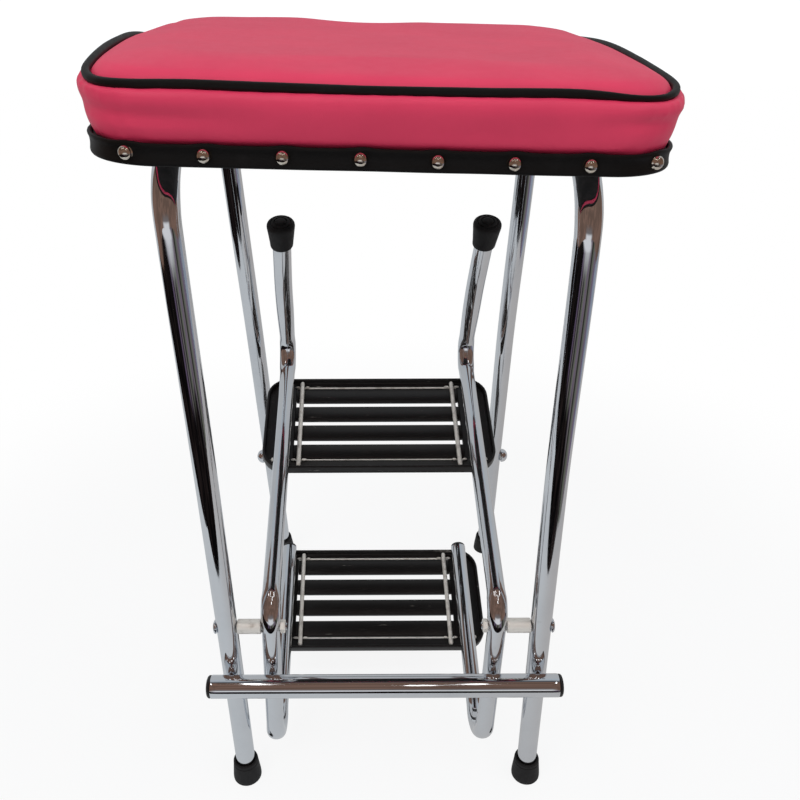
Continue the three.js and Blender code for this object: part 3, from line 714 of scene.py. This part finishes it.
def addTread(name, label, reach, tubeAxis):
    middle = Vector((0, reach + tread["depth"] / 2, tubeAxis - stepTube["radius"] - gap))

    def place(point):
        return stepPlace(middle + Vector(point))

    # rim: a moulded frame with a low wall round its outer edge
    low = -tread["height"]
    outerWall = [
        (-1.7, low), (-0.7, low + 0.35), (-0.15, low + 1.1), (0, low + 2.2), (0, -1.3), (-0.25, -0.45),
        (-0.9, 0), (-2.1, 0), (-2.75, -0.35), (-3, -1.1), (-3.1, plateTop + 1.2),
        (-3.5, plateTop + 0.35), (-4.4, plateTop),
    ]
    innerWall = [
        (0.9, plateTop), (0.25, plateTop - 0.3), (0, plateTop - 0.9), (0, low + 0.9), (0.25, low + 0.3),
        (0.9, low),
    ]
    rings = []
    for shape, wall in ((tread, outerWall), (opening, innerWall)):
        rings += [[place((x, y, z)) for x, y, _, _ in outline(shape, offset)] for offset, z in wall]
    addSkin(f"{label}Rim", rings, "tread", [f"{name}_rim"], "steps", 50.0, loop=True)

    # slats: pressed bars with round edges, drawn in a little at their ends
    lastSlat = tread["depth"] / 2 - tread["rearRim"] - wireSlot - tread["slatWidth"] / 2 + tread["overlap"]
    w, t = tread["slatWidth"] / 2, tread["plate"]
    section = [
        (-w, -1.4), (-w + 0.35, -0.5), (-w + 1.3, 0), (w - 1.3, 0), (w - 0.35, -0.5), (w, -1.4), (w, 1.2 - t),
        (w - 0.35, 0.4 - t), (w - 1.2, -t), (1.2 - w, -t), (0.35 - w, 0.4 - t), (-w, 1.2 - t),
    ]
    for i in range(tread["slats"]):
        length = openWidth - 2 * gap if i == 0 else tread["slatLength"]
        slatY = lastSlat - i * (tread["slatWidth"] + tread["slatGap"])
        rings = []
        for k in range(tread["slatSteps"] + 1):
            share = k / tread["slatSteps"]
            x = (share - 0.5) * length
            fromEnd = min(share, 1 - share) * length
            tuck = 1 - tread["tuck"] * (1 - smoothStep(fromEnd / tread["tuckOver"]))
            rings.append([place((x, slatY + y * tuck, plateTop + z * tuck)) for y, z in section])
        number = tread["slats"] - i
        addSkin(f"{label}Slat_{number}", rings, "tread", [f"{name}_slat_{number}"], "steps", 50.0)

    rodZ = plateTop + gap + tread["rod"]
    rodEnd = tread["depth"] / 2 - tread["lip"] - gap - tread["rod"]
    rivetX, rivetY = tread["width"] / 2 - tread["rivetInset"], tread["rivetFront"] - tread["depth"] / 2
    for side, sign in sides.items():
        ends = arc(tread["rod"], rodEnd, tread["rod"], 5)
        profile = mirrored(ends) + [(tread["rod"], rodEnd * k / 8) for k in range(-7, 8)] + ends
        spot = (sign * tread["rodSpacing"] / 2, 0, rodZ)
        nodes = [f"{name}_rod_{side}"]
        addTurned(f"{label}Rod_{side}", profile, (0, 1, 0), spot, "zinc", nodes, "steps", place, 20)
        spot = (sign * rivetX, rivetY, plateTop + gap)
        profile = [(0, 0), (tread["rivet"] - 0.2, 0)]
        profile += arc(tread["rivet"], 0.3, tread["rivetHeight"] - 0.3, 5)
        nodes = [f"{name}_rivet_{side}"]
        addTurned(f"{label}Rivet_{side}", profile, (0, 0, 1), spot, "zinc", nodes, "steps", place, 24)
    wireY = tread["depth"] / 2 - tread["rearRim"] - wireSlot / 2
    spot = (0, wireY, plateTop - tread["wire"])
    profile = rodProfile(tread["wire"], openWidth / 2 - gap, 0.3)
    addTurned(f"{label}Wire", profile, (1, 0, 0), spot, "zinc", [f"{name}_wire"], "steps", place, 16)

    # weld beads beside the rods, and a thin pale strip along the first slat's front edge: a painted edge
    # highlight, set as a fine zinc wire
    frontEdge = tread["frontRim"] - tread["depth"] / 2 + tread["overlap"]
    beads = []
    for sign in sides.values():
        for aside in weld["aside"]:
            beads += [(sign * tread["rodSpacing"] / 2 + aside, y) for y in (wireY, frontEdge)]
    shells = []
    for n, (x, y) in enumerate(beads):
        size = weld["length"] + weld["uneven"] * math.sin(n * 2.3)
        turns = [math.pi * k / 8 for k in range(9)]
        profile = [(weld["radius"] * math.sin(turn), -size * math.cos(turn)) for turn in turns]
        spot = (x, y, plateTop + weld["lift"])
        shells.append(joinRings(turnedRings(profile, (1, 0, 0), spot, 12, place)))
    # the pale strip is a painted edge highlight on the first slat's front edge
    end = tread["rodSpacing"] / 2
    profile = [(0.3, -end), (0.65, 0.6 - end), (0.65, end - 0.6), (0.3, end)]
    spot = (0, frontEdge, plateTop + weld["edgeLift"])
    shells.append(joinRings(turnedRings(profile, (1, 0, 0), spot, 10, place)))
    addPiece(f"{label}WeldsAndEdgeHighlight", *gather(shells), "zinc", [], "steps", 60.0)


addTread("upper_tread", "upperTread", tread["upperReach"], stepShape["rise"])
addTread("lower_tread", "lowerTread", tread["lowerReach"], -stepShape["innerDrop"])
print("treads done")

# seat
seat = {
    "width": 346.0, "depth": 326.0, "corner": 41.0, "centre": layout["seatMiddle"], "bow": 8.0, "arch": 7.3,
    "bandHeight": 13.5, "welt": 2.9, "weltHeight": 43.0, "weltInset": 1.6,
    "crown": 51.6, "crownPower": 42.0, "crownSteps": 34, "crownInset": 1.0, "crownDip": 0.6, "shoulder": 2.7,
    "nails": 30, "nailStart": 0.335, "nailRadius": 4.7, "nailHeight": 4.6, "nailOut": 2.0,
}
# towards the rear the seam runs lower: from y, over this length, by how much, and less per mm to the right
rearDrop = {"from": 110, "over": 130, "depth": 4.4, "aside": 0.012}
boxing = seat["weltHeight"] - seat["bandHeight"]


def midShare(y):
    # 1 midway along the seat's sides, 0 at its front and back
    return max(0.0, 1 - (2 * (y - seat["centre"]) / seat["depth"]) ** 2)


def seatOutline(offset, cornerSteps, runSteps):
    # the board's outline with its bowed sides
    spots = []
    for x, y, outX, outY in outline(seat, offset, cornerSteps, runSteps):
        spots.append((x + math.copysign(seat["bow"], x) * midShare(y), y, outX, outY))
    return spots


seamWaves = [
    # x, y, rise, spread: where the sewn seam runs high or low
    (-170, -26, -1.9, 24), (-116, -44, 0.9, 34), (40, -44, 0.7, 60), (104, -44, 1.7, 36),
    (166, -30, -1.4, 22), (-176, 75, -0.3, 60), (176, 75, -1.7, 70), (-178, 150, -2.2, 55),
    (-178, 225, -4.2, 48), (-160, 272, -4.2, 42),
]


def swell(x, y, spot):
    # a soft bump, given as x, y, height, spread
    spotX, spotY, height, spread = spot
    return height * math.exp(-((x - spotX) ** 2 + (y - spotY) ** 2) / spread**2)


def lump(x, y, z, size, scale):
    # smooth random unevenness
    return size * noise.noise(Vector((x, y, z)) * scale)


def archAt(x, y):
    drop = rearDrop["depth"] - x * rearDrop["aside"]
    rise = seat["arch"] * midShare(y) - smoothStep((y - rearDrop["from"]) / rearDrop["over"]) * drop
    for wave in seamWaves:
        rise += swell(x, y, wave)
    return rise


def alongEdge(offset, share, steps=24):
    # place and outward direction at a share of the way round the board's edge
    spots = seatOutline(offset, steps, 40)
    gaps = [math.dist(spots[i][:2], spots[(i + 1) % len(spots)][:2]) for i in range(len(spots))]
    left = (share % 1.0) * sum(gaps)
    i = 0
    while left > gaps[i]:
        left -= gaps[i]
        i += 1
    a, b = spots[i], spots[(i + 1) % len(spots)]
    part = left / gaps[i]
    return [p + (q - p) * part for p, q in zip(a, b)]


nailShares = []
for n in range(seat["nails"]):
    # drifts given one by one: the front row is spread out a little
    drift = np.interp(n, (0, 14, 15, 16, 23, 24, 25, 30), (0, -0.42, -0.68, -0.12, 0.115, 0.4, 0.25, 0))
    nailShares.append((n + seat["nailStart"] + float(drift)) / seat["nails"])

cloth = {
    "voxel": 0.005, "limit": 0.005, "startLower": 3.0, "frames": 18, "smoothing": 14,
    "base": 0.0142, "seamHold": 0.002, "seamFade": 0.006, "leastHold": 0.01,
    "settings": {
        "vertex_group_mass": "pinned", "use_pressure": True, "uniform_pressure_force": 4.0, "mass": 0.3,
        "tension_stiffness": 12.0, "compression_stiffness": 12.0, "bending_stiffness": 4.0,
        "shrink_min": -0.003,
    },
}
# cushion: the boxing bulges between band and seam, the top panel crowns from the seam
cushionSections = [
    # offset from the board's edge, share of the way from the band's top to the piping
    (-1.2, -0.13), (-0.6, -0.09), (0.2, -0.02), (1.2, 0.12), (2.6, 0.32), (4.0, 0.54),
    (5.2, 0.74), (5.2, 0.88), (3.5, 0.985), (-1.5, 0.98),
]
rings = []
for offset, share in cushionSections:
    ring = []
    for x, y, _, _ in seatOutline(offset, 10, 14):
        ring.append((x, y, seat["bandHeight"] + (boxing + archAt(x, y)) * share))
    rings.append(ring)
# where the foam has gone soft: x, y, depth, spread
crownDents = [(-119, 258, 2.9, 44), (-20, 262, 2.0, 35), (92, 258, 1.2, 46)]
crownHeight = seat["crown"] - cloth["startLower"]
crownBase = seatOutline(-seat["weltInset"] - seat["crownInset"], 10, 14)
for k in range(1, seat["crownSteps"]):
    share = math.cos(math.pi / 2 * k / seat["crownSteps"])
    hold = share ** seat["crownPower"]
    ring = []
    for x, y, _, _ in crownBase:
        inX, inY = x * share, seat["centre"] + (y - seat["centre"]) * share
        top = crownHeight + seat["shoulder"] * share**2
        for dent in crownDents:
            top -= swell(inX, inY, dent)
        seamHeight = seat["weltHeight"] - seat["crownDip"] + archAt(x, y)
        ring.append((inX, inY, seamHeight * hold + top * (1 - hold)))
    rings.append(ring)
points, faces = joinRings([[Vector(p) for p in ring] for ring in rings])


def seamLine(cornerSteps, runSteps):
    spots = seatOutline(-seat["weltInset"], cornerSteps, runSteps)
    return [(x, y, seat["weltHeight"] + archAt(x, y)) for x, y, _, _ in spots]


def settle(points, faces):
    # inflate the pad as cloth pinned at its seam and its base, and keep the swelling small
    mesh = bpy.data.meshes.new("padStart")
    mesh.from_pydata([tuple(p * 0.001) for p in points], [], faces)
    pad = linked("padStart", mesh)
    bpy.context.view_layer.objects.active = pad
    remesh = pad.modifiers.new("even", "REMESH")
    remesh.mode = "VOXEL"
    remesh.voxel_size = cloth["voxel"]
    depsgraph = bpy.context.evaluated_depsgraph_get()
    mesh = bpy.data.meshes.new_from_object(pad.evaluated_get(depsgraph))
    pad.modifiers.clear()
    pad.data = mesh
    start = np.array([v.co for v in mesh.vertices])
    pinned = pad.vertex_groups.new(name="pinned")
    seam = np.array(seamLine(16, 40)) * 0.001
    free = np.ones((len(start), 1))
    for i, spot in enumerate(start):
        near = np.sqrt(((seam - spot) ** 2).sum(1).min())
        hold = 1.0
        if spot[2] >= cloth["base"]:
            hold -= smoothStep((near - cloth["seamHold"]) / cloth["seamFade"])
        free[i] = 1 - hold
        if hold > cloth["leastHold"]:
            pinned.add([i], hold, "REPLACE")
    cover = pad.modifiers.new("cover", "CLOTH")
    for key, value in cloth["settings"].items():
        setattr(cover.settings, key, value)
    cover.settings.effector_weights.gravity = 0
    cover.collision_settings.use_collision = False
    scene = bpy.context.scene
    for step in range(1, cloth["frames"] + 1):
        scene.frame_set(step)
    depsgraph = bpy.context.evaluated_depsgraph_get()
    moved = np.array([v.co for v in pad.evaluated_get(depsgraph).to_mesh().vertices])
    scene.frame_set(1)
    pad.modifiers.clear()
    shift = moved - start
    length = np.linalg.norm(shift, axis=1, keepdims=True)
    shift *= np.minimum(1.0, cloth["limit"] / np.maximum(length, 1e-9))
    # even the swelling out, so that only the broad softness is left
    edges = np.array([edge.vertices[:] for edge in pad.data.edges])
    links = np.bincount(edges.ravel(), minlength=len(start)).reshape(-1, 1)
    for step in range(cloth["smoothing"]):
        around = np.zeros_like(shift)
        np.add.at(around, edges[:, 0], shift[edges[:, 1]])
        np.add.at(around, edges[:, 1], shift[edges[:, 0]])
        shift = (shift * 0.5 + around / links * 0.5) * free
    result = start + shift
    quads = [tuple(p.vertices) for p in pad.data.polygons]
    bpy.data.objects.remove(pad)
    print("cushion settled, most moved", round(float(length.max()) * 1000, 1), "mm")
    return [Vector(p) * 1000 for p in result], quads


points, faces = settle(points, faces)
bedPath = np.array(seamLine(24, 90))
cover = addPiece("seatCushion", points, faces, "pinkVinyl", ["seat_cushion"], crease=180.0)
smooth = cover.modifiers.new("finer", "SUBSURF")
smooth.levels = smooth.render_levels = 1
depsgraph = bpy.context.evaluated_depsgraph_get()
fine = bpy.data.meshes.new_from_object(cover.evaluated_get(depsgraph))
cover.modifiers.clear()
cover.data = fine

folds = [
    # soft folds in the boxing: share round the edge, width, depth, height share, height width
    (0.535, 0.032, -1.5, 0.50, 0.13), (0.560, 0.020, -0.9, 0.40, 0.12), (0.772, 0.017, -2.0, 0.56, 0.13),
    (0.795, 0.022, 1.2, 0.74, 0.13), (0.545, 0.030, 0.6, 0.27, 0.12), (0.752, 0.009, -0.7, 0.42, 0.2),
    (0.590, 0.010, -0.7, 0.45, 0.35), (0.640, 0.030, 0.5, 0.55, 0.3), (0.700, 0.030, -0.6, 0.30, 0.2),
    (0.055, 0.010, -0.9, 0.5, 0.3), (0.28, 0.010, -0.9, 0.5, 0.3), (0.25, 0.009, 0.6, 0.45, 0.3),
    (0.80, 0.012, -0.5, 0.6, 0.3), (0.52, 0.012, -0.6, 0.6, 0.3),
]
# how the panels dive into the seam
dive = {"depth": 2.6, "spread": 3.6, "inward": 0.55, "down": 0.83, "least": 0.02}
# sizes and scales of the lumps, where on the boxing they start, and how far in from the edge of the top
uneven = {"boxing": (0.5, 0.018), "start": 0.02, "inside": -5, "top": (0.55, 0.014), "from": 8, "over": 30}
edgeSpots = np.array(seatOutline(0.0, 24, 90))
edgeRun = np.concatenate([[0], np.cumsum(np.linalg.norm(np.diff(edgeSpots[:, :2], axis=0), axis=1))])
edgeShare = edgeRun / (edgeRun[-1] + np.linalg.norm(edgeSpots[0, :2] - edgeSpots[-1, :2]))
for vertex in fine.vertices:
    x, y, z = vertex.co
    nearest = int(((edgeSpots[:, 0] - x) ** 2 + (edgeSpots[:, 1] - y) ** 2).argmin())
    outX, outY = edgeSpots[nearest, 2:]
    outward = (x - edgeSpots[nearest, 0]) * outX + (y - edgeSpots[nearest, 1]) * outY
    rise = (z - seat["bandHeight"]) / (boxing + archAt(x, y))
    if uneven["start"] < rise < 1 and outward > uneven["inside"]:
        push = 0.0
        for share, width, depth, height, spread in folds:
            away = (edgeShare[nearest] - share + 0.5) % 1.0 - 0.5
            push += depth * math.exp(-((away / width) ** 2) - ((rise - height) / spread) ** 2)
        push += lump(x, y, z, *uneven["boxing"]) * math.sin(math.pi * rise)
        vertex.co = (x + outX * push, y + outY * push, z)
    elif rise >= 1:
        fromEdge = smoothStep((-outward - uneven["from"]) / uneven["over"])
        vertex.co.z += lump(x, y, 7, *uneven["top"]) * fromEdge
    # the two panels dive into the seam under the piping
    away = np.sqrt(((bedPath - np.array(vertex.co)) ** 2).sum(1)).min()
    pull = dive["depth"] * math.exp(-((away / dive["spread"]) ** 2))
    if pull > dive["least"]:
        vertex.co += Vector((-outX * dive["inward"], -outY * dive["inward"], -dive["down"])) * pull
for vertex in fine.vertices:
    vertex.co = seatPlace(vertex.co)
for polygon in fine.polygons:
    polygon.use_smooth = True
cover.data.materials.clear()
cover.data.materials.append(looks["pinkVinyl"][0])
print("cushion done:", len(fine.vertices), "points")

# the welt is a little flat, and stretched thin and low round the right front corner
welt = {
    "wander": (0.5, 0.02), "sag": (0.5, 0.016), "swelling": (0.03, 0.05), "flat": 0.92, "sides": 18,
    "thinCorner": (150, -42, 1, 27), "thinner": 0.4, "lower": 0.3,
}


def addPiping():
    # with the small unevenness of hand-sewn welt
    rings = []
    for x, y, outX, outY in seatOutline(-seat["weltInset"], 16, 60):
        wander = lump(x, y, 0, *welt["wander"])
        sag = lump(x, y, 30, *welt["sag"])
        radius = seat["welt"] * (1 + lump(x, y, 60, *welt["swelling"]))
        thin = swell(x, y, welt["thinCorner"])
        radius *= 1 - welt["thinner"] * thin
        sag -= welt["lower"] * thin
        ring = []
        for k in range(welt["sides"]):
            angle = 2 * math.pi * k / welt["sides"]
            out = wander + radius * welt["flat"] * math.cos(angle)
            z = seat["weltHeight"] + archAt(x, y) + sag + radius * math.sin(angle)
            ring.append(seatPlace((x + outX * out, y + outY * out, z)))
        rings.append(ring)
    addSkin("seatPiping", rings, "blackVinyl", ["seat_piping"], crease=180.0, loop=True)


addPiping()

band = {
    # the strip's section: how far out, how high
    "section": [
        (0.3, 0.5), (0.7, -0.1), (1.5, -0.35), (2.3, -0.1), (2.75, 0.7), (2.85, 1.9), (2.6, 3.4),
        (2.35, 5.2), (2.3, 7.0), (2.35, 8.8), (2.6, 10.4), (2.95, 11.8), (3.05, 12.9), (2.7, 13.8),
        (2.0, 14.2), (1.1, 14.0), (0.4, 13.2), (0.3, 11.0),
    ],
    "nailReach": 7.0, "squeeze": 0.92, "wave": (1.0, 0.02), "topFrom": 9, "topOver": 4, "middle": 4.0,
    "lift": 0.9, "slump": 0.25, "topWave": 0.35, "lowWave": 0.25, "draw": 0.45, "gape": 0.25, "drawWave": 0.2,
}


def addBand():
    # a folded strip, rolled at both edges and drawn in where each nail holds it
    spots = seatOutline(0.0, 22, 150)
    run = [0.0]
    for a, b in zip(spots, spots[1:] + spots[:1]):
        run.append(run[-1] + math.dist(a[:2], b[:2]))
    rings = []
    for (x, y, outX, outY), along in zip(spots, run):
        share = along / run[-1]
        away = min(abs((share - n + 0.5) % 1.0 - 0.5) for n in nailShares) * run[-1]
        held = math.exp(-((away / band["nailReach"]) ** 2))
        wave = lump(x, y, 90, *band["wave"])
        ring = []
        for out, z in band["section"]:
            top = smoothStep((z - band["topFrom"]) / band["topOver"])
            middle = math.exp(-(((z - seat["bandHeight"] / 2) / band["middle"]) ** 2))
            lift = top * (band["lift"] * held - band["slump"] + band["topWave"] * wave)
            lift += (1 - top) * band["lowWave"] * wave
            draw = band["draw"] * held * middle - top * (band["gape"] * (1 - held))
            draw -= band["drawWave"] * wave * top
            reach = max(0.3, out - draw) if out > 0.5 else out
            ring.append(seatPlace((x + outX * reach, y + outY * reach, z * band["squeeze"] + lift)))
        rings.append(ring)
    addSkin("seatBand", rings, "blackVinyl", ["seat_trim_band"], crease=180.0, loop=True)


def addNails():
    shells = []
    draw = random.Random(5)
    wide, high = seat["nailRadius"], seat["nailHeight"]
    profile = [(0, -1.0), (wide - 0.5, -1.0), (wide, -0.1), (wide - 0.1, 0.35)]
    profile += arc(wide - 0.35, 0.6, high - 0.6, 8)
    for share in nailShares:
        x, y, outX, outY = alongEdge(seat["nailOut"], share)
        tilt = Vector((outX, outY, draw.uniform(-0.05, 0.05))).normalized()
        spot = (x, y, seat["bandHeight"] / 2 + draw.uniform(-0.4, 0.1))
        shells.append(joinRings(turnedRings(profile, tilt, spot, 28, seatPlace)))
    addPiece("trimNails", *gather(shells), "nickel", [], crease=40.0)


addBand()
addNails()
print("band and nails done")

# the board, and the cover's edge turned under it and pressed flat
boardSection = [(-1.6, 0.0), (-0.5, 0.3), (0.0, 1.2), (0.0, 9.8), (-0.4, 10.6), (-1.2, 11.0)]
hemSection = [(-7.2, -0.15), (-7.0, -0.75), (-7.6, -1.0), (-12.6, -0.9), (-13.4, -0.6), (-13.2, -0.15)]
hem = {"wander": (1.6, 0.05), "freeEdge": -10}
rings = [[seatPlace((x, y, z)) for x, y, _, _ in seatOutline(offset, 12, 10)] for offset, z in boardSection]
addSkin("seatBoard", rings, "plywood", ["seat_board"], crease=40.0)
rings = []
for x, y, outX, outY in seatOutline(0.0, 12, 40):
    wander = lump(x, y, 11, *hem["wander"])
    ring = []
    for out, z in hemSection:
        reach = out + (wander if out < hem["freeEdge"] else 0)
        ring.append(seatPlace((x + outX * reach, y + outY * reach, z)))
    rings.append(ring)
addSkin("coverHem", rings, "pinkVinyl", [], crease=60.0, loop=True)

# screws up through the rails
screw = {
    "head": 5.0, "height": 2.6, "edge": 0.4, "shank": 2.1, "grip": 7.5, "tip": 1.5,
    "front": 78.0, "rear": 172.0,
}
railDepth = 2 * legTube["radius"] + 2 * gap
length = railDepth + screw["grip"]
for side, sign in sides.items():
    for name in ("front", "rear"):
        x = sign * (layout["frameX"] + layout["flare"][side])
        profile = mirrored(arc(screw["head"], screw["edge"], screw["height"] - screw["edge"], 6))
        profile += [(screw["head"], 0), (screw["shank"], 0)]
        profile += [(screw["shank"], length - screw["tip"]), (0, length)]
        spot = (x, screw[name], -railDepth)
        nodes = [f"seat_screw_{name}_{side}"]
        addTurned(f"seatScrew_{name}_{side}", profile, (0, 0, 1), spot, "zinc", nodes, "stool", seatPlace, 28)
print("board and screws done")


# stage: floor, cards that only show as reflections, lamps, camera
def addPlane(name, corners, material):
    mesh = bpy.data.meshes.new(name)
    mesh.from_pydata(corners, [], [tuple(range(len(corners)))])
    mesh.materials.append(material)
    plane = linked(name, mesh)
    return plane


def level(x0, x1, y0, y1, z):
    # the corners of a level rectangle
    return [(x0, y0, z), (x1, y0, z), (x1, y1, z), (x0, y1, z)]


def upright(x0, y0, x1, y1, height):
    # the corners of an upright rectangle on the floor
    return [(x0, y0, 0), (x1, y1, 0), (x1, y1, height), (x0, y0, height)]


floor = {
    "half": 5.0, "fadeFrom": 0.42, "fadeTo": 0.95, "paint": srgb(226, 228, 231), "glow": 0.88,
    "inMirrors": 0.8, "mirrorLeft": srgb(196, 199, 201), "mirrorRight": srgb(176, 171, 168),
}


def floorMaterial():
    # a pale floor that takes the stool's shadow and turns pure white further out
    material, graph = newMaterial("paleFloor")
    distance = graph.add("ShaderNodeVectorMath", {"operation": "LENGTH"}, (graph.place(),), "Value")
    seen, mirror, through = graph.rays()
    paint = graph.add("ShaderNodeBsdfDiffuse", {}, {"Color": floor["paint"]})
    dim = graph.blend(graph.ramp(graph.axis("X"), -0.25, 0.45), floor["mirrorLeft"], floor["mirrorRight"])
    shown = graph.blend(mirror, (1, 1, 1, 1), dim)
    white = graph.add("ShaderNodeEmission", {}, {"Color": shown, "Strength": 1.0})
    far = graph.ramp(distance, floor["fadeFrom"], floor["fadeTo"])
    amount = (seen + through) * (floor["glow"] + (1 - floor["glow"]) * far) + mirror * floor["inMirrors"]
    surface = graph.add("ShaderNodeMixShader", {}, (amount, paint, white))
    graph.add("ShaderNodeOutputMaterial", {}, {"Surface": surface})
    return material


h = floor["half"]
addPlane("floor", level(-h, h, -h, h, 0), floorMaterial())


def reflected(name, corners, paint):
    # a glowing card that only mirror-like surfaces see
    material, graph = newMaterial(name)
    glow = graph.add("ShaderNodeEmission", {}, {"Color": paint(graph), "Strength": 1.0})
    graph.add("ShaderNodeOutputMaterial", {}, {"Surface": glow})
    card = addPlane(name, corners, material)
    for ray in ("camera", "diffuse", "shadow", "transmission"):
        setattr(card, f"visible_{ray}", False)


tints = {
    "brown": srgb(104, 84, 74), "warm": srgb(126, 100, 88), "black": srgb(9, 8, 9),
    "grey": srgb(118, 112, 112), "violet": srgb(110, 94, 118), "green": srgb(100, 104, 92),
    "blue": srgb(150, 158, 172), "soot": srgb(36, 29, 28), "dim": srgb(66, 64, 66),
    "pale": srgb(178, 184, 190), "bright": srgb(222, 222, 224), "lamp": (4.6, 4.5, 4.4, 1),
}


def paintCeiling(graph):
    # brown and mottled in front, grey above the stool, pale behind it
    patches = graph.ramp(graph.noise(1.6, 3.0), 0.4, 0.62)
    y = graph.axis("Y")
    front = graph.blend(patches, tints["brown"], tints["warm"])
    above = graph.blend(graph.ramp(y, -0.5, 0.3), tints["dim"], tints["pale"])
    return graph.blend(graph.ramp(y, -0.64, -0.52), front, above)


def paintWall(graph):
    patches = graph.ramp(graph.noise(1.4, 3.0), 0.4, 0.64)
    return graph.blend(patches, tints["brown"], tints["warm"])


def paintFront(graph):
    # bright low strip under a brown wall
    z, x = graph.axis("Z"), graph.axis("X")
    low = graph.blend(graph.ramp(z, 0.3, 0.6), tints["bright"], tints["grey"])
    strip = graph.ramp(z, 1.35, 0.55) * graph.ramp(x, -1.9, -0.8) * graph.ramp(x, 1.5, 0.5)
    return graph.blend(strip, paintWall(graph), low)


# how the clutter ahead lies round the stool: share of the way from left to right, tint
clutter = [
    (0.0, "soot"), (0.34, "black"), (0.38, "violet"), (0.42, "black"), (0.46, "grey"), (0.5, "black"),
    (0.55, "green"), (0.59, "grey"), (0.63, "violet"), (0.67, "grey"), (0.72, "black"), (0.77, "green"),
    (0.84, "grey"), (0.91, "violet"), (1.0, "blue"),
]


def paintFarFloor(graph):
    # dark floor and clutter, in streaks that point away from the stool, lighter far ahead
    x, y = graph.axis("X"), graph.axis("Y")
    bearing = x.maths("ARCTAN2", x, -1.0 * y)
    stops = [(share, tints[name]) for share, name in clutter]
    streaks = graph.add("ShaderNodeValToRGB", {"stops": stops}, (bearing * 0.32 + 0.5,))
    near = graph.ramp(y, -0.98, -0.86) * graph.ramp(x, 0.5, 0.3)
    dark = graph.blend(graph.ramp(graph.noise(5.0, 4.0), 0.42, 0.66), tints["black"], tints["soot"])
    cluttered = graph.blend(near + graph.ramp(graph.noise(9.0, 2.0), 0.45, 0.6) * 0.2, streaks, dark)
    return graph.blend(graph.ramp(y, -1.55, -2.0) * graph.ramp(x, 1.2, 0.6), cluttered, tints["bright"])


room = {
    "ceiling": 2.3, "wide": 1.7, "cardWide": 2.2, "front": -3.0, "back": 0.45, "ceilingBack": 0.9,
    "floorLift": 0.004, "lampDrop": 0.02,
}
top, wide, half, front, back = (room[k] for k in ("ceiling", "wide", "cardWide", "front", "back"))
reflected("ceilingCard", level(-half, half, front, room["ceilingBack"], top), paintCeiling)
reflected("frontCard", upright(-half, front, half, front, top), paintFront)
for side, sign in sides.items():
    reflected(f"{side}Card", upright(sign * wide, front, sign * wide, back, top), paintWall)
# the pale floor ends half a metre ahead and widens towards the back
border = [(0.42, -0.47), (0.74, -0.12), (1.07, 0.3), (1.14, 0.63), (wide, 0.63), (wide, front)]
farFloor = border + [(-x, y) for x, y in reversed(border)]
reflected("farFloorCard", [(x, y, room["floorLift"]) for x, y in farFloor], paintFarFloor)

panels = {
    # small bright lamps just under the brown ceiling: centre x and y, half sizes
    "lampCardA": (-0.5, -1.0, 0.03, 0.28),
    "lampCardB": (0.3, -1.4, 0.035, 0.2),
    "lampCardC": (1.0, -0.9, 0.05, 0.3),
    "lampCardD": (-1.3, -0.9, 0.05, 0.25),
    "lampCardE": (0.1, -1.9, 0.05, 0.2),
}
for name, (x, y, w, d) in panels.items():
    corners = level(x - w, x + w, y - d, y + d, top - room["lampDrop"])
    reflected(name, corners, lambda graph: tints["lamp"])

lamps = {
    # name: place, aim, size, watts
    "keyLamp": ((-0.8, -1.3, 2.0), (0, 0, 0.5), 1.3, 17.0),
    "fillLamp": ((1.3, -0.9, 1.6), (0, 0, 0.45), 1.2, 8.0),
    "topLamp": ((0.1, 0.1, 2.2), (0, 0, 0.6), 1.5, 6.0),
}
for name, (spot, aim, size, watts) in lamps.items():
    lamp = bpy.data.lights.new(name, "AREA")
    lamp.shape = "SQUARE"
    lamp.size = size
    lamp.energy = watts
    holder = linked(name, lamp)
    holder.location = spot
    holder.rotation_euler = (Vector(aim) - Vector(spot)).to_track_quat("-Z", "Y").to_euler()
    holder.visible_glossy = False

world = bpy.data.worlds.new("whiteRoom")
bpy.context.scene.world = world
world.use_nodes = True
graph = Graph(world.node_tree)
seen, mirror, through = graph.rays()
base = graph.add("ShaderNodeBackground", {}, {"Color": (0.97, 0.985, 1, 1), "Strength": 0.5})
strength = seen * 1.1 + through + mirror * 0.5
shown = graph.add("ShaderNodeBackground", {}, {"Color": (0.96, 0.98, 1, 1), "Strength": strength})
amount = graph.add("ShaderNodeMath", {"operation": "ADD", "use_clamp": True}, (seen + mirror, through))
surface = graph.add("ShaderNodeMixShader", {}, (amount, base, shown))
graph.add("ShaderNodeOutputWorld", {}, {"Surface": surface})

camera = {"spot": (17.5, -516.7, 696.9), "yaw": 0.05, "pitch": 28.41, "roll": -0.2, "lens": 36.0}
yaw, pitch, roll = (math.radians(camera[k]) for k in ("yaw", "pitch", "roll"))
forward = Vector((math.sin(yaw) * math.cos(pitch), math.cos(yaw) * math.cos(pitch), -math.sin(pitch)))
right = forward.cross(Vector((0, 0, 1))).normalized()
above = right.cross(forward)
tiltedRight = right * math.cos(roll) + above * math.sin(roll)
tiltedUp = above * math.cos(roll) - right * math.sin(roll)
lens = bpy.data.cameras.new("photoCamera")
lens.lens = camera["lens"]
lens.sensor_width = 36.0
lens.clip_start = 0.01
viewer = linked("photoCamera", lens)
turn = Matrix((tiltedRight, tiltedUp, -forward)).transposed().to_4x4()
spot = (Vector(camera["spot"]) + Vector((0, layout["outlineShift"], 0))) * 0.001
viewer.matrix_world = Matrix.Translation(spot) @ turn
bpy.context.scene.camera = viewer
bpy.context.scene.view_settings.view_transform = "Standard"
print("stage ready")
